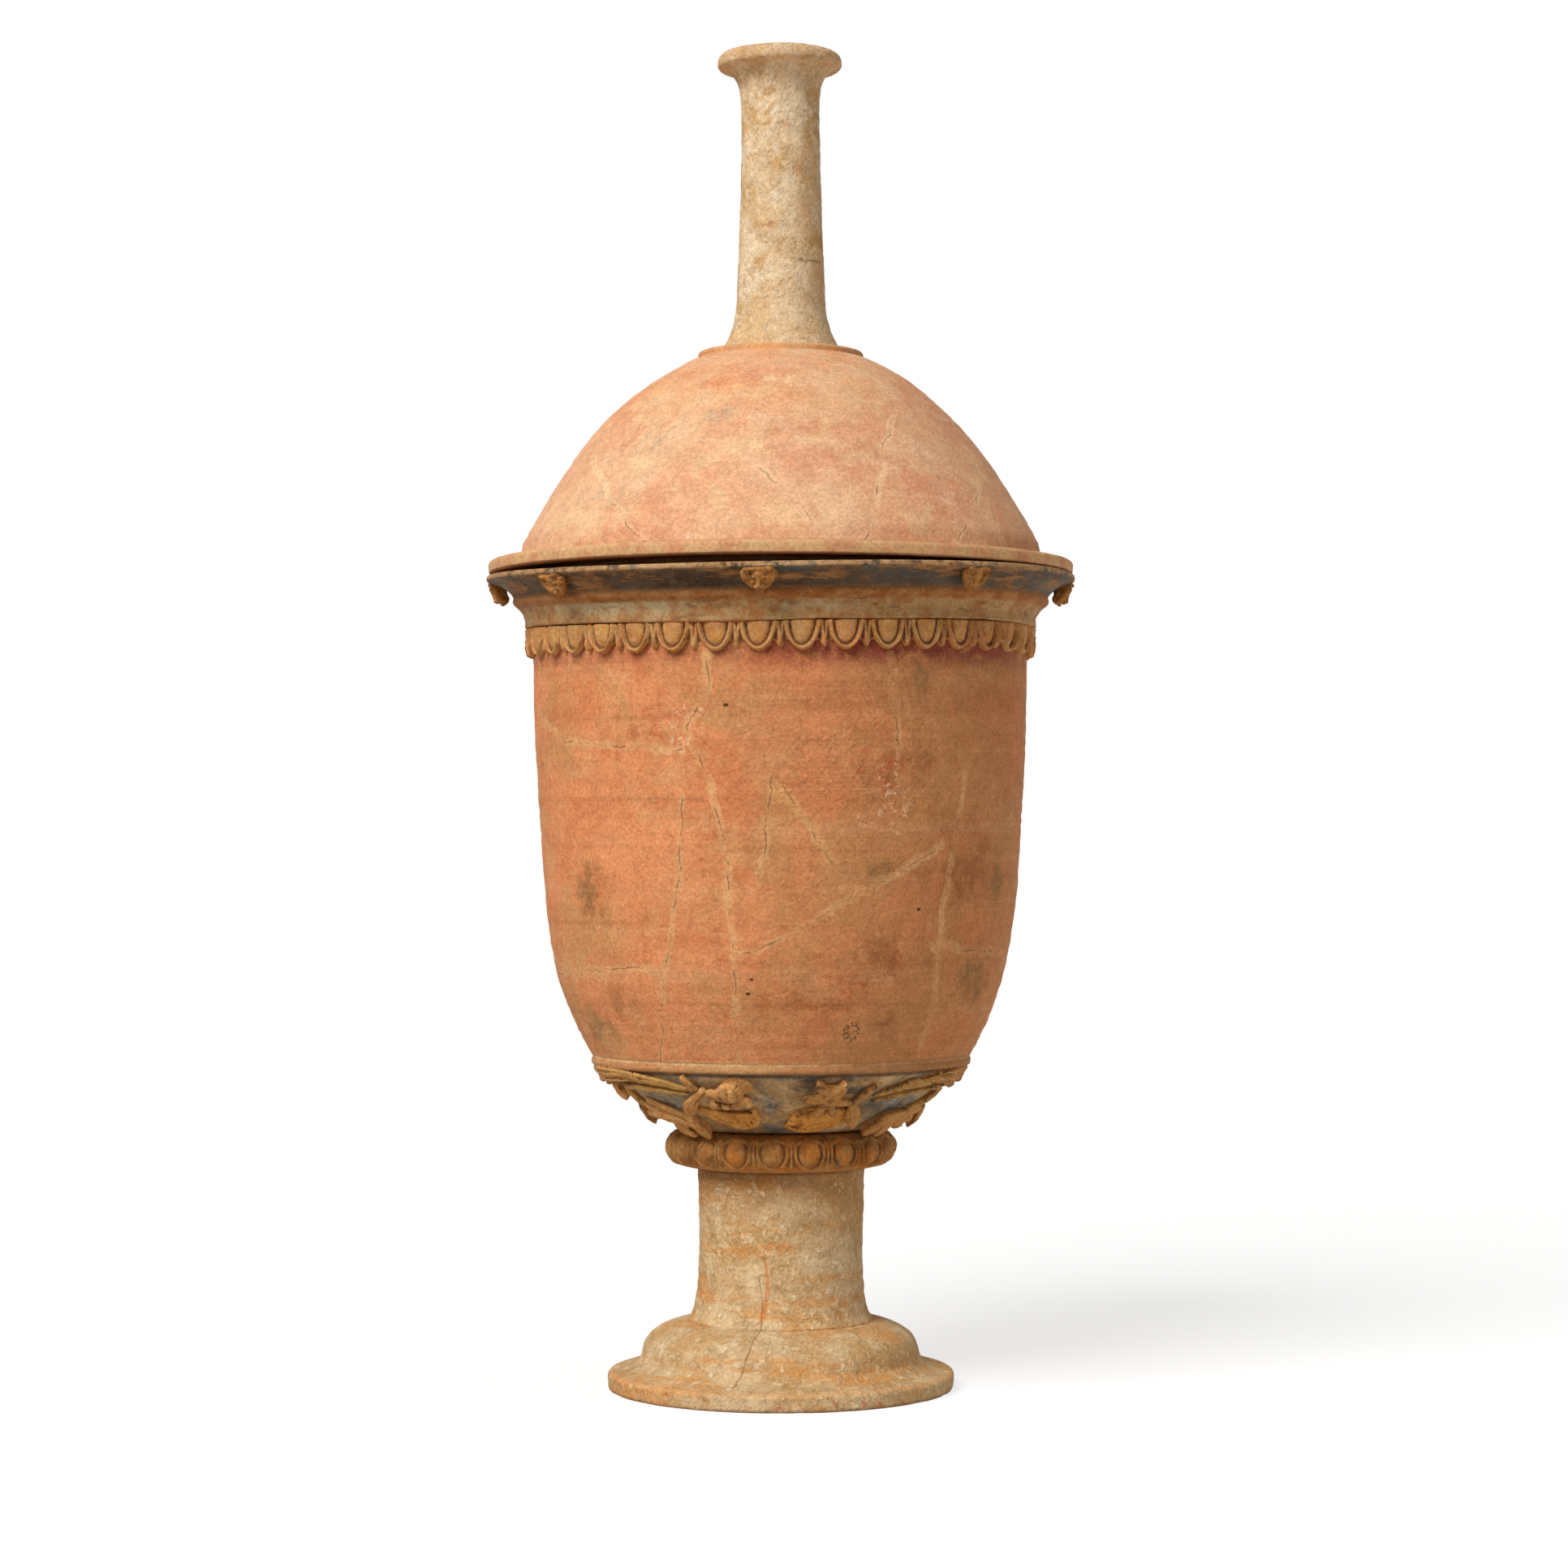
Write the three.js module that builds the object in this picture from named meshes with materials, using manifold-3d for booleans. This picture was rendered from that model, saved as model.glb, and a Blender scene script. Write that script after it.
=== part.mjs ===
// Covered pyxis on a tall foot: thrown terracotta with moulded egg rings, lion heads and scroll reliefs.
// Millimetres, +Z up, origin at the centre of the face that it stands on, front towards -Y.
import * as THREE from "three";
import { mergeVertices } from "three/addons/utils/BufferGeometryUtils.js";
import Module from "manifold-3d";

const wasm = await Module();
wasm.setup();

// Clearances
const SEAT_GAP = 0.3; // between two pieces that touch
const SPIGOT_CLEARANCE = 2; // round the lid's ring inside the mouth
const FLANGE_INSET = 1; // how far the lid's edge stays inside the rim's

// Foot
const FOOT_RADIUS = 89.3;
const FOOT_EDGE_HEIGHT = 9;
const FOOT_PLATE_RISE = 3;
const FOOT_STEP_WIDTH = 6;
const FOOT_STEP_HEIGHT = 3.2;
const FOOT_DOME_RADIUS = 71;
const FOOT_DOME_FOOT_HEIGHT = 20;
const FOOT_HEIGHT = 35;
const FOOT_BEARING_WIDTH = 21;
const FOOT_WALL = 8;

// Stem
const STEM_BASE_RADIUS = 48;
const STEM_RADIUS = 42;
const STEM_TOP_RADIUS = 43;
const STEM_FLARE_HEIGHT = 45;
const STEM_HEIGHT = 79;
const STEM_WALL = 7;

// Egg ring between stem and bowl
const RING_HEIGHT = 20;
const RING_RADIUS = 58;
const RING_EDGE_RADIUS = 49;
const RING_EGGS = 19;
const RING_TURN = -4;
const RING_RELIEF = 2.6;

// Bowl
const BOWL_WALL = 7;
const BOWL_NECK_RADIUS = 42;
const CONE_BASE_RADIUS = 50;
const CONE_TOP_RADIUS = 95;
const CONE_HEIGHT = 32;
const LEDGE_RADIUS = 97.4;
const LEDGE_HEIGHT = 5;
const BODY_RADIUS = 127.4;
const BODY_HEIGHT = 204;
const DIP_DEPTH = 4; // the rim sagged in the kiln at two opposite places
const DIP_AZIMUTH = -20;

// Egg band and cornice
const BAND_HEIGHT = 15.6;
const BAND_THICKNESS = 2.6;
const BAND_EGGS = 38;
const CORNICE_OVERHANG = 4.6;
const LOWER_COVE_HEIGHT = 10.4;
const LOWER_COVE_DEPTH = 3;
const RIDGE_HEIGHT = 5.2;
const RIDGE_DEPTH = 3;
const UPPER_COVE_HEIGHT = 8.3;
const UPPER_COVE_DEPTH = 14;
const MOUTH_OVERHANG = 3.6; // how much wider the mouth is than the top of the body outside
const RIM_RADIUS = 152;
const RIM_LIP_HEIGHT = 3.2;

// Lid
const LID_FLANGE_THICKNESS = 6.6;
const LID_FLANGE_WIDTH = 16;
const LID_HEIGHT = 105.6;
const LID_WALL = 6;
const LID_CROWN_RADIUS = 44;
const LID_SPIGOT_DEPTH = 9;
const LID_SPIGOT_WALL = 5;
const COLLAR_RADIUS = 42.6;
const COLLAR_HEIGHT = 3.5;

// Finial
const FINIAL_BASE_RADIUS = 31.5;
const FINIAL_BASE_HEIGHT = 27;
const FINIAL_LOW_RADIUS = 23.1;
const FINIAL_RADIUS = 20.4;
const FINIAL_TUBE_HEIGHT = 100;
const FINIAL_FLARE_HEIGHT = 20;
const FINIAL_DISC_RADIUS = 32.4;
const FINIAL_DISC_HEIGHT = 8.5;
const FINIAL_WALL = 6;

// Lion heads, each pressed on by hand: azimuths in degrees, 0 at the front and growing to the right
const LION_AZIMUTHS = [-4, 40, 92, 138, 180, -136, -92, -49];
const LION_WIDTH = 18;
const LION_LENGTH = 16;
const LION_RELIEF = 6;
const LION_TILT = 35; // degrees that the face looks down

// Scroll reliefs laid on the cone: how wide and long each one is and how far it stands out
const FLOWER = { width: 30, petals: 5, relief: 8 };
const DROP_PETAL = { width: 9, length: 18, relief: 5 };
const BOAT_LEAF = { width: 16, length: 35, relief: 5 };
const SMALL_LEAF = { width: 4.5, length: 15, relief: 3.5 };
const SHEATH = { width: 12, length: 48, relief: 5 };
const UPPER_STEM = { width: 8, length: 54, relief: 4 };
const LOWER_STEM = { width: 5.5, length: 24, relief: 4.5 };
const LOWER_FLOWER = { width: 14, length: 31, relief: 6 };
const LEAF_TIP = { width: 5.5, length: 14, relief: 6.5 };
const KNOB = { width: 8, length: 10, relief: 7 };

// Where their middles lie, away from the front: azimuth in degrees towards the side, mm up the cone's
// slope, and the way that the tip points in degrees, 0 up the slope and 90 towards the side
const RIGHT_PLACES = {
  flower: { azimuth: 17, slope: 40, turn: 0 },
  drop_petal: { azimuth: 29.5, slope: 25.5, turn: 157 },
  boat_leaf: { azimuth: 16, slope: 20, turn: -82 },
  small_leaf: { azimuth: 29.5, slope: 43, turn: 16 },
  calyx_sheath: { azimuth: 62, slope: 52.5, turn: -103 },
  upper_stem: { azimuth: 49, slope: 46, turn: -106 },
  lower_stem: { azimuth: 66, slope: 34, turn: 15 },
  lower_flower: { azimuth: 57.5, slope: 14.5, turn: -97 },
  leaf_tip: { azimuth: 77, slope: 20.5, turn: 145 },
};
const LEFT_PLACES = {
  flower: { azimuth: 17, slope: 41, turn: 0 },
  drop_petal: { azimuth: 32, slope: 35.5, turn: 141 },
  boat_leaf: { azimuth: 20.5, slope: 23, turn: 78 },
  small_leaf: { azimuth: 30, slope: 49.5, turn: 17 },
  calyx_sheath: { azimuth: 61, slope: 54.5, turn: -103 },
  upper_stem: { azimuth: 45.5, slope: 48.5, turn: -102 },
  lower_stem: { azimuth: 62.5, slope: 37, turn: -20 },
  lower_flower: { azimuth: 49, slope: 18.5, turn: -126 },
  leaf_tip: { azimuth: 71, slope: 42, turn: 178 },
};
const KNOB_SLOPE = 54;
const RELIEF_ROOT = 5; // how far the backs are sunk before they are shaped

// Fineness of the facets
const LATHE_SIDES = 30;
const NARROW_SIDES = 24;

const rad = THREE.MathUtils.degToRad;

// Heights of the seams, stacked from the ground
const stemBase = FOOT_HEIGHT + SEAT_GAP;
const stemTop = FOOT_HEIGHT + STEM_HEIGHT;
const bowlBase = stemTop + SEAT_GAP;
const coneBase = stemTop + RING_HEIGHT + SEAT_GAP;
const coneTop = coneBase + CONE_HEIGHT;
const bodyBase = coneTop + LEDGE_HEIGHT;
const bodyTop = bodyBase + BODY_HEIGHT;
const bandTop = bodyTop + BAND_HEIGHT;
const corniceBase = bandTop + SEAT_GAP;
const ridgeBase = corniceBase + LOWER_COVE_HEIGHT;
const flareBase = ridgeBase + RIDGE_HEIGHT;
const lipBase = flareBase + UPPER_COVE_HEIGHT;
const rimTop = lipBase + RIM_LIP_HEIGHT;
const lidBase = rimTop + SEAT_GAP;
const domeBase = lidBase + LID_FLANGE_THICKNESS;
const collarBase = domeBase + LID_HEIGHT;
const lidTop = collarBase + COLLAR_HEIGHT;
const finialBase = lidTop + SEAT_GAP;

// Radii of the cornice: its steps share the room between the wall below and the rim
const corniceSteps = CORNICE_OVERHANG + LOWER_COVE_DEPTH + RIDGE_DEPTH + UPPER_COVE_DEPTH;
const stepScale = (RIM_RADIUS - BODY_RADIUS) / corniceSteps;
const coveRadius = BODY_RADIUS + CORNICE_OVERHANG * stepScale;
const ridgeRadius = coveRadius + LOWER_COVE_DEPTH * stepScale;
const flareRadius = ridgeRadius + RIDGE_DEPTH * stepScale;
const mouthRadius = BODY_RADIUS + MOUTH_OVERHANG;

// Radii of the lid, which lines up with the rim
const flangeRadius = RIM_RADIUS - FLANGE_INSET;
const lidRadius = flangeRadius - LID_FLANGE_WIDTH;

// A bent stretch of outline between two points; each bend is a share of the way in radius and in height
function bentCurve(start, bendOne, bendTwo, end) {
  const at = (bend) =>
    new THREE.Vector2(
      start[0] + (end[0] - start[0]) * bend[0],
      start[1] + (end[1] - start[1]) * bend[1],
    );
  const [first, last] = [new THREE.Vector2(...start), new THREE.Vector2(...end)];
  return new THREE.CubicBezierCurve(first, at(bendOne), at(bendTwo), last);
}
const pointsOf = (curve, steps) => curve.getPoints(steps).map((point) => [point.x, point.y]);

function bent(start, bendOne, bendTwo, end, steps) {
  return pointsOf(bentCurve(start, bendOne, bendTwo, end), steps);
}

// The same outline moved sideways by a wall, to the left of its direction when the wall is positive
function offset(outline, wall) {
  return outline.map((point, i) => {
    const before = outline[Math.max(i - 1, 0)];
    const after = outline[Math.min(i + 1, outline.length - 1)];
    const along = new THREE.Vector2(after[0] - before[0], after[1] - before[1]).normalize();
    return [point[0] - along.y * wall, point[1] + along.x * wall];
  });
}

// The inner face of a tube wall, cut off level with the outer face at both ends
function lining(outline, wall) {
  const inner = offset(outline, wall);
  inner[0][1] = outline[0][1];
  inner[inner.length - 1][1] = outline[outline.length - 1][1];
  return inner;
}

// Every second point of a lining, and its two ends: inside, the outline needs no more
const thinned = (outline) => outline.filter((_, i) => i % 2 === 0 || i === outline.length - 1);

// Turn a geometry's faces outwards, if its volume comes out negative
function facingOut(geometry) {
  const position = geometry.getAttribute("position");
  const index = geometry.index.array;
  const corner = [new THREE.Vector3(), new THREE.Vector3(), new THREE.Vector3()];
  let volume = 0;
  for (let i = 0; i < index.length; i += 3) {
    corner.forEach((vertex, k) => vertex.fromBufferAttribute(position, index[i + k]));
    volume += corner[0].dot(corner[1].clone().cross(corner[2]));
  }
  if (volume < 0) {
    for (let i = 0; i < index.length; i += 3) {
      [index[i + 1], index[i + 2]] = [index[i + 2], index[i + 1]];
    }
  }
  return geometry;
}

// Keep only positions, with each shared vertex stored once
function welded(geometry) {
  geometry.deleteAttribute("normal");
  geometry.deleteAttribute("uv");
  return facingOut(mergeVertices(geometry, 1e-3));
}

// A thrown piece: an outline of [radius, height] turned round the upright axis
function thrown(outline, sides) {
  const points = outline.map(([radius, height]) => new THREE.Vector2(Math.max(radius, 0), height));
  const geometry = new THREE.LatheGeometry(points, sides);
  geometry.rotateX(Math.PI / 2);
  return welded(geometry);
}

// How far the kiln pulled the clay down at this height and azimuth
function kilnDip(x, y, z) {
  const rise = THREE.MathUtils.smoothstep(z, bodyBase + BODY_HEIGHT / 2, rimTop);
  const azimuth = Math.atan2(x, -y) - rad(DIP_AZIMUTH);
  return DIP_DEPTH * rise * (1 + Math.cos(2 * azimuth)) * 0.5;
}

function sagged(geometry) {
  const position = geometry.getAttribute("position");
  for (let i = 0; i < position.count; i += 1) {
    const [x, y, z] = [position.getX(i), position.getY(i), position.getZ(i)];
    position.setZ(i, z - kilnDip(x, y, z));
  }
  return geometry;
}

// Solids for cutting one piece by another
function solidOf(geometry) {
  return new wasm.Manifold(
    new wasm.Mesh({
      numProp: 3,
      vertProperties: geometry.getAttribute("position").array,
      triVerts: new Uint32Array(geometry.index.array),
    }),
  );
}

// What is left of a piece after the cuts: its largest part
function cut(geometry, cutters) {
  const left = cutters.reduce((solid, cutter) => solid.subtract(cutter), solidOf(geometry));
  const largest = left.decompose().sort((a, b) => b.volume() - a.volume())[0];
  const mesh = largest.simplify(0.12).getMesh();
  const result = new THREE.BufferGeometry();
  result.setAttribute("position", new THREE.BufferAttribute(mesh.vertProperties, 3));
  result.setIndex(new THREE.BufferAttribute(mesh.triVerts, 1));
  return result;
}

const part = new THREE.Group();

function add(name, geometry, colour, roughness) {
  geometry.computeVertexNormals();
  const material = new THREE.MeshStandardMaterial({ color: colour, roughness, metalness: 0 });
  const mesh = new THREE.Mesh(geometry, material);
  mesh.name = name;
  part.add(mesh);
}

const CREAM_SLIP = 0xd9c09a;
const SALMON_CLAY = 0xd0875f;
const ROSE_CLAY = 0xd59a79;
const OCHRE = 0xb98a4e;

// Foot: a flat plate edge, a concave step and a low dome, hollow underneath
const footDome = bent(
  [FOOT_DOME_RADIUS, FOOT_DOME_FOOT_HEIGHT],
  [0.05, 0.53],
  [0.4, 0.87],
  [STEM_BASE_RADIUS + 1, FOOT_HEIGHT],
  4,
);
const footHollow = thinned(offset(footDome, FOOT_WALL)).reverse();
const stemBore = STEM_BASE_RADIUS - STEM_WALL - 4;
const foot = thrown(
  [
    [FOOT_RADIUS - FOOT_BEARING_WIDTH, 0],
    [FOOT_RADIUS - 0.5, 0],
    [FOOT_RADIUS, FOOT_EDGE_HEIGHT - 1.5],
    [FOOT_RADIUS - 1.5, FOOT_EDGE_HEIGHT],
    [FOOT_DOME_RADIUS + FOOT_STEP_WIDTH, FOOT_EDGE_HEIGHT + FOOT_PLATE_RISE],
    [FOOT_DOME_RADIUS + FOOT_STEP_WIDTH * 0.2, FOOT_EDGE_HEIGHT + FOOT_PLATE_RISE + FOOT_STEP_HEIGHT],
    ...footDome,
    [stemBore, FOOT_HEIGHT],
    [stemBore, FOOT_HEIGHT - FOOT_WALL],
    ...footHollow.slice(1),
    [FOOT_RADIUS - FOOT_BEARING_WIDTH, 0],
  ],
  NARROW_SIDES,
);
add("foot", foot, CREAM_SLIP, 0.9);

// Stem: a hollow tube that flares on to the foot
const stemFlare = bent(
  [STEM_BASE_RADIUS, stemBase],
  [0.73, 0.105],
  [1, 0.44],
  [STEM_RADIUS, stemBase + STEM_FLARE_HEIGHT],
  5,
);
const stemOuter = [...stemFlare, [STEM_TOP_RADIUS, stemTop]];
const stem = thrown(
  [...stemOuter, ...thinned(lining(stemOuter, STEM_WALL)).reverse(), stemOuter[0]],
  NARROW_SIDES,
);
add("stem", stem, CREAM_SLIP, 0.9);

// Bowl: neck, cone, ledge, deep body and a double cavetto cornice, one wall thick
const coneStart = [CONE_BASE_RADIUS, coneBase];
const coneCurve = bentCurve(coneStart, [0.31, 0.15], [0.71, 0.574], [CONE_TOP_RADIUS, coneTop]);
const coneOuter = pointsOf(coneCurve, 4);
const bodyOuter = bent([LEDGE_RADIUS, bodyBase], [0.704, 0.185], [0.886, 0.299], [BODY_RADIUS, bodyTop], 6);
const corniceOuter = [
  [BODY_RADIUS, corniceBase],
  [coveRadius, corniceBase],
  [coveRadius, corniceBase + LOWER_COVE_HEIGHT * 0.65],
  [ridgeRadius, ridgeBase],
  [flareRadius, ridgeBase + RIDGE_HEIGHT * 0.4],
  [flareRadius - 0.3, flareBase],
  [flareRadius + 3 * stepScale, flareBase + UPPER_COVE_HEIGHT * 0.5],
  [flareRadius + 7.5 * stepScale, flareBase + UPPER_COVE_HEIGHT * 0.82],
  [RIM_RADIUS - 1, lipBase],
  [RIM_RADIUS, lipBase + 1],
  [RIM_RADIUS - 0.4, rimTop],
  [mouthRadius, rimTop],
  [mouthRadius, flareBase],
];
const floorTop = coneBase + BOWL_WALL;
const coneInner = offset(coneOuter, BOWL_WALL).slice(1);
const bodyInner = thinned(offset(bodyOuter, BOWL_WALL));
const neckBore = STEM_TOP_RADIUS - STEM_WALL;
const bowl = thrown(
  [
    [0, coneBase - BOWL_WALL * 0.4],
    [neckBore, coneBase - BOWL_WALL * 0.4],
    [neckBore, bowlBase],
    [BOWL_NECK_RADIUS, bowlBase],
    [BOWL_NECK_RADIUS, coneBase],
    ...coneOuter,
    [LEDGE_RADIUS - 0.2, coneTop + 0.6],
    ...bodyOuter,
    ...corniceOuter,
    ...bodyInner.reverse(),
    ...coneInner.reverse(),
    [0, floorTop],
  ],
  LATHE_SIDES,
);
add("bowl", sagged(bowl), SALMON_CLAY, 0.85);

// A moulded strip bent into a ring. Each column of the unit lists its points from the top edge down as
// [share of the half unit sideways, share of the height down, relief in mm].
function mouldedRing(count, turn, columns, face, inner) {
  const pitch = (2 * Math.PI) / count;
  const vertices = [];
  for (let unit = 0; unit < count; unit += 1) {
    for (const column of columns) {
      for (const [across, down, relief] of column) {
        const [radius, z] = face(down, relief);
        const azimuth = rad(turn) + pitch * (unit + across / 2);
        vertices.push(radius * Math.sin(azimuth), -radius * Math.cos(azimuth), z);
      }
      const azimuth = rad(turn) + pitch * (unit + column[0][0] / 2);
      for (const [radius, z] of inner) {
        vertices.push(radius * Math.sin(azimuth), -radius * Math.cos(azimuth), z);
      }
    }
  }
  const rows = columns[0].length + inner.length;
  const total = count * columns.length;
  const triangles = [];
  for (let i = 0; i < total; i += 1) {
    const next = (i + 1) % total;
    for (let j = 0; j < rows; j += 1) {
      const below = (j + 1) % rows;
      triangles.push(i * rows + j, next * rows + j, next * rows + below);
      triangles.push(i * rows + j, next * rows + below, i * rows + below);
    }
  }
  const geometry = new THREE.BufferGeometry();
  geometry.setAttribute("position", new THREE.Float32BufferAttribute(vertices, 3));
  geometry.setIndex(triangles);
  return facingOut(geometry);
}

// One side's columns repeated as a mirror image, from the dart on the left to the one on the right
function mirrored(dart, sides, egg) {
  const flip = (column) => column.map(([across, down, relief]) => [-across, down, relief]);
  return [flip(dart), ...sides.map(flip), egg, ...[...sides].reverse()];
}

// Band of small eggs, each in a U-shaped frame, with a narrow dart sunk between two frames
const bandColumns = mirrored(
  [[1, 0, 0.2], [1, 0.3, 0.6], [1, 0.68, 1.6], [1, 0.86, 0.9]],
  [
    [[0.74, 0, 2], [0.74, 0.38, 2.1], [0.64, 0.72, 2.2], [0.46, 0.96, 1.2]],
    [[0.54, 0, 0.6], [0.53, 0.38, 0.7], [0.42, 0.66, 0.8], [0.24, 1, 1.2]],
  ],
  [[0, 0, 1.6], [0, 0.38, 2.8], [0, 0.76, 1], [0, 1, 1.6]],
);
const bandInner = BODY_RADIUS + SEAT_GAP;
const bandFace = (down, relief) => [
  bandInner + BAND_THICKNESS + relief - 1.2 * down * down,
  bandTop - down * BAND_HEIGHT,
];
const eggBand = mouldedRing(BAND_EGGS, 180 / BAND_EGGS, bandColumns, bandFace, [
  [bandInner, bandTop - BAND_HEIGHT * 0.86],
  [bandInner, bandTop],
]);
add("egg_band", sagged(eggBand), OCHRE, 0.85);

// Ring of large round eggs on a half-round strip, with frames that join in arches over the darts
const ringColumns = mirrored(
  [[1, 0, 0], [1, 0.2, 1.2], [1, 0.5, 0.3], [1, 0.82, 0.8], [1, 1, 0]],
  [
    [[0.72, 0, 0], [0.68, 0.24, 1.8], [0.74, 0.5, 1.9], [0.62, 0.8, 1.5], [0.6, 1, 0]],
    [[0.4, 0, 0], [0.48, 0.26, 0.2], [0.56, 0.5, 0.2], [0.36, 0.78, 0.2], [0.3, 1, 0]],
  ],
  [[0, 0, 0], [0, 0.22, 1], [0, 0.5, RING_RELIEF], [0, 0.76, 1.3], [0, 1, 0]],
);
const ringTop = coneBase - SEAT_GAP;
const ringInner = Math.max(BOWL_NECK_RADIUS, STEM_TOP_RADIUS) + SEAT_GAP + 0.4;
const ringFace = (down, relief) => {
  const swell = Math.sqrt(Math.max(0, 1 - (2 * down - 1) ** 2));
  return [
    RING_EDGE_RADIUS + (RING_RADIUS - RING_EDGE_RADIUS) * swell + relief,
    ringTop - down * RING_HEIGHT,
  ];
};
const eggRing = mouldedRing(RING_EGGS, RING_TURN, ringColumns, ringFace, [
  [ringInner, ringTop - RING_HEIGHT],
  [ringInner, ringTop],
]);
add("stem_egg_ring", eggRing, OCHRE, 0.85);

// Lid: a flat flange, a deep dome closed by a collar disc, and a ring that finds the mouth
const lidDome = bent(
  [lidRadius - 2, domeBase + 9],
  [0.322, 0.579],
  [0.603, 0.837],
  [LID_CROWN_RADIUS, collarBase - 0.3],
  7,
);
const lidInner = thinned(offset(lidDome, LID_WALL));
const spigotRadius = mouthRadius - SPIGOT_CLEARANCE;
const lid = thrown(
  [
    [0, lidInner[lidInner.length - 1][1] + 1],
    ...lidInner.reverse(),
    [spigotRadius - LID_SPIGOT_WALL, domeBase],
    [spigotRadius - LID_SPIGOT_WALL, lidBase - LID_SPIGOT_DEPTH],
    [spigotRadius - 1, lidBase - LID_SPIGOT_DEPTH],
    [spigotRadius, lidBase],
    [flangeRadius - 0.4, lidBase],
    [flangeRadius, domeBase - 1.4],
    [flangeRadius - 1.4, domeBase],
    [lidRadius + 1.5, domeBase + 0.6],
    [lidRadius - 0.3, domeBase + 1],
    ...lidDome,
    [COLLAR_RADIUS, collarBase],
    [COLLAR_RADIUS, lidTop - 0.5],
    [COLLAR_RADIUS - 0.5, lidTop],
    [0, lidTop],
  ],
  LATHE_SIDES,
);
add("lid", lid, ROSE_CLAY, 0.8);

// Finial: an open tube that flares at the base and ends in a rounded disc
const tubeTop = finialBase + FINIAL_BASE_HEIGHT + FINIAL_TUBE_HEIGHT;
const discBase = tubeTop + FINIAL_FLARE_HEIGHT;
const finialTop = discBase + FINIAL_DISC_HEIGHT;
const waistRadius = (FINIAL_LOW_RADIUS + FINIAL_RADIUS) / 2 - 0.3;
const finialNeck = [
  ...bent(
    [FINIAL_BASE_RADIUS, finialBase],
    [0.6, 0.33],
    [0.89, 0.54],
    [FINIAL_LOW_RADIUS, finialBase + FINIAL_BASE_HEIGHT],
    4,
  ),
  [waistRadius, finialBase + FINIAL_BASE_HEIGHT + FINIAL_TUBE_HEIGHT * 0.4],
  ...bent(
    [FINIAL_RADIUS, tubeTop],
    [0.03, 0.51],
    [0.22, 0.865],
    [FINIAL_DISC_RADIUS - 4.7, discBase - 0.5],
    4,
  ),
];
const finialBore = thinned(lining(finialNeck, FINIAL_WALL));
const finial = thrown(
  [
    ...finialNeck,
    [FINIAL_DISC_RADIUS - 1, discBase + 0.2],
    [FINIAL_DISC_RADIUS, discBase + 2],
    [FINIAL_DISC_RADIUS - 0.4, finialTop - 2.6],
    [FINIAL_DISC_RADIUS - 3.5, finialTop],
    [FINIAL_DISC_RADIUS - FINIAL_WALL - 3, finialTop - 1],
    ...finialBore.reverse(),
    finialNeck[0],
  ],
  NARROW_SIDES,
);
add("finial", finial, CREAM_SLIP, 0.9);

// Solids of the bowl and of the egg ring, a seat gap larger, that shape the backs of what is laid on them
const bowlOuter = [
  [BOWL_NECK_RADIUS, bowlBase],
  [BOWL_NECK_RADIUS, coneBase],
  ...coneOuter,
  [LEDGE_RADIUS - 0.2, coneTop + 0.6],
  ...bodyOuter,
  ...corniceOuter.slice(0, -2),
];
const bowlSeat = offset(bowlOuter, -SEAT_GAP);
const bowlCutter = solidOf(
  sagged(thrown([[0, bowlBase - SEAT_GAP], ...bowlSeat, [0, rimTop + SEAT_GAP]], LATHE_SIDES)),
);
const RING_STEPS = [0, 0.12, 0.35, 0.65, 0.88, 1];
const ringEnvelope = RING_STEPS.map((down) => ringFace(down, RING_RELIEF + 2 * SEAT_GAP));
const ringCutter = solidOf(
  thrown([[0, ringTop + SEAT_GAP], ...ringEnvelope, [0, ringTop - RING_HEIGHT]], LATHE_SIDES),
);

// A modelled lump: rings of points from its rim to its crown, and a flat back sunk below the surface.
// outline(angle) gives [across, along]; height(share, angle) gives the relief; place() sets it on the vessel.
function lump(sides, shares, outline, height, depth, place) {
  const vertices = [];
  const ring = (share, lift) => {
    for (let i = 0; i < sides; i += 1) {
      const angle = (2 * Math.PI * i) / sides;
      const [across, along] = outline(angle);
      vertices.push(...place(across * share, along * share, lift(angle)));
    }
  };
  ring(1, () => -depth);
  shares.forEach((share) => ring(share, (angle) => height(share, angle)));
  vertices.push(...place(0, 0, -depth), ...place(0, 0, height(0, 0)));
  const rings = shares.length + 1;
  const back = rings * sides;
  const triangles = [];
  for (let i = 0; i < sides; i += 1) {
    const next = (i + 1) % sides;
    triangles.push(back, next, i);
    for (let j = 0; j < rings - 1; j += 1) {
      const low = j * sides;
      const high = low + sides;
      triangles.push(low + i, low + next, high + next);
      triangles.push(low + i, high + next, high + i);
    }
    triangles.push((rings - 1) * sides + i, (rings - 1) * sides + next, back + 1);
  }
  const geometry = new THREE.BufferGeometry();
  geometry.setAttribute("position", new THREE.Float32BufferAttribute(vertices, 3));
  geometry.setIndex(triangles);
  return facingOut(geometry);
}

// Lion heads: a mane round a face with a brow and a muzzle, looking out and down from under the flare,
// clear of the lid above them
const lionRadius = (flareRadius + RIM_RADIUS) / 2;
const lionHeight = (flareBase + lipBase) / 2;
function lionOutline(angle) {
  const cheek = 1 - 0.1 * Math.max(0, -Math.sin(angle));
  return [(LION_WIDTH / 2) * Math.cos(angle) * cheek, (LION_LENGTH / 2) * Math.sin(angle)];
}
function lionRelief(share, angle) {
  if (share === 0) return LION_RELIEF;
  if (share === 1) return 0;
  if (share > 0.75) return LION_RELIEF * 0.7;
  const below = Math.sin(angle) < -0.5;
  const brow = Math.sin(angle) > 0.5;
  if (share > 0.5) return LION_RELIEF * (below ? 0.95 : 0.5);
  return LION_RELIEF * (below ? 1.25 : brow ? 0.9 : 0.65);
}
const headReach = RIM_RADIUS + LION_LENGTH;
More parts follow.
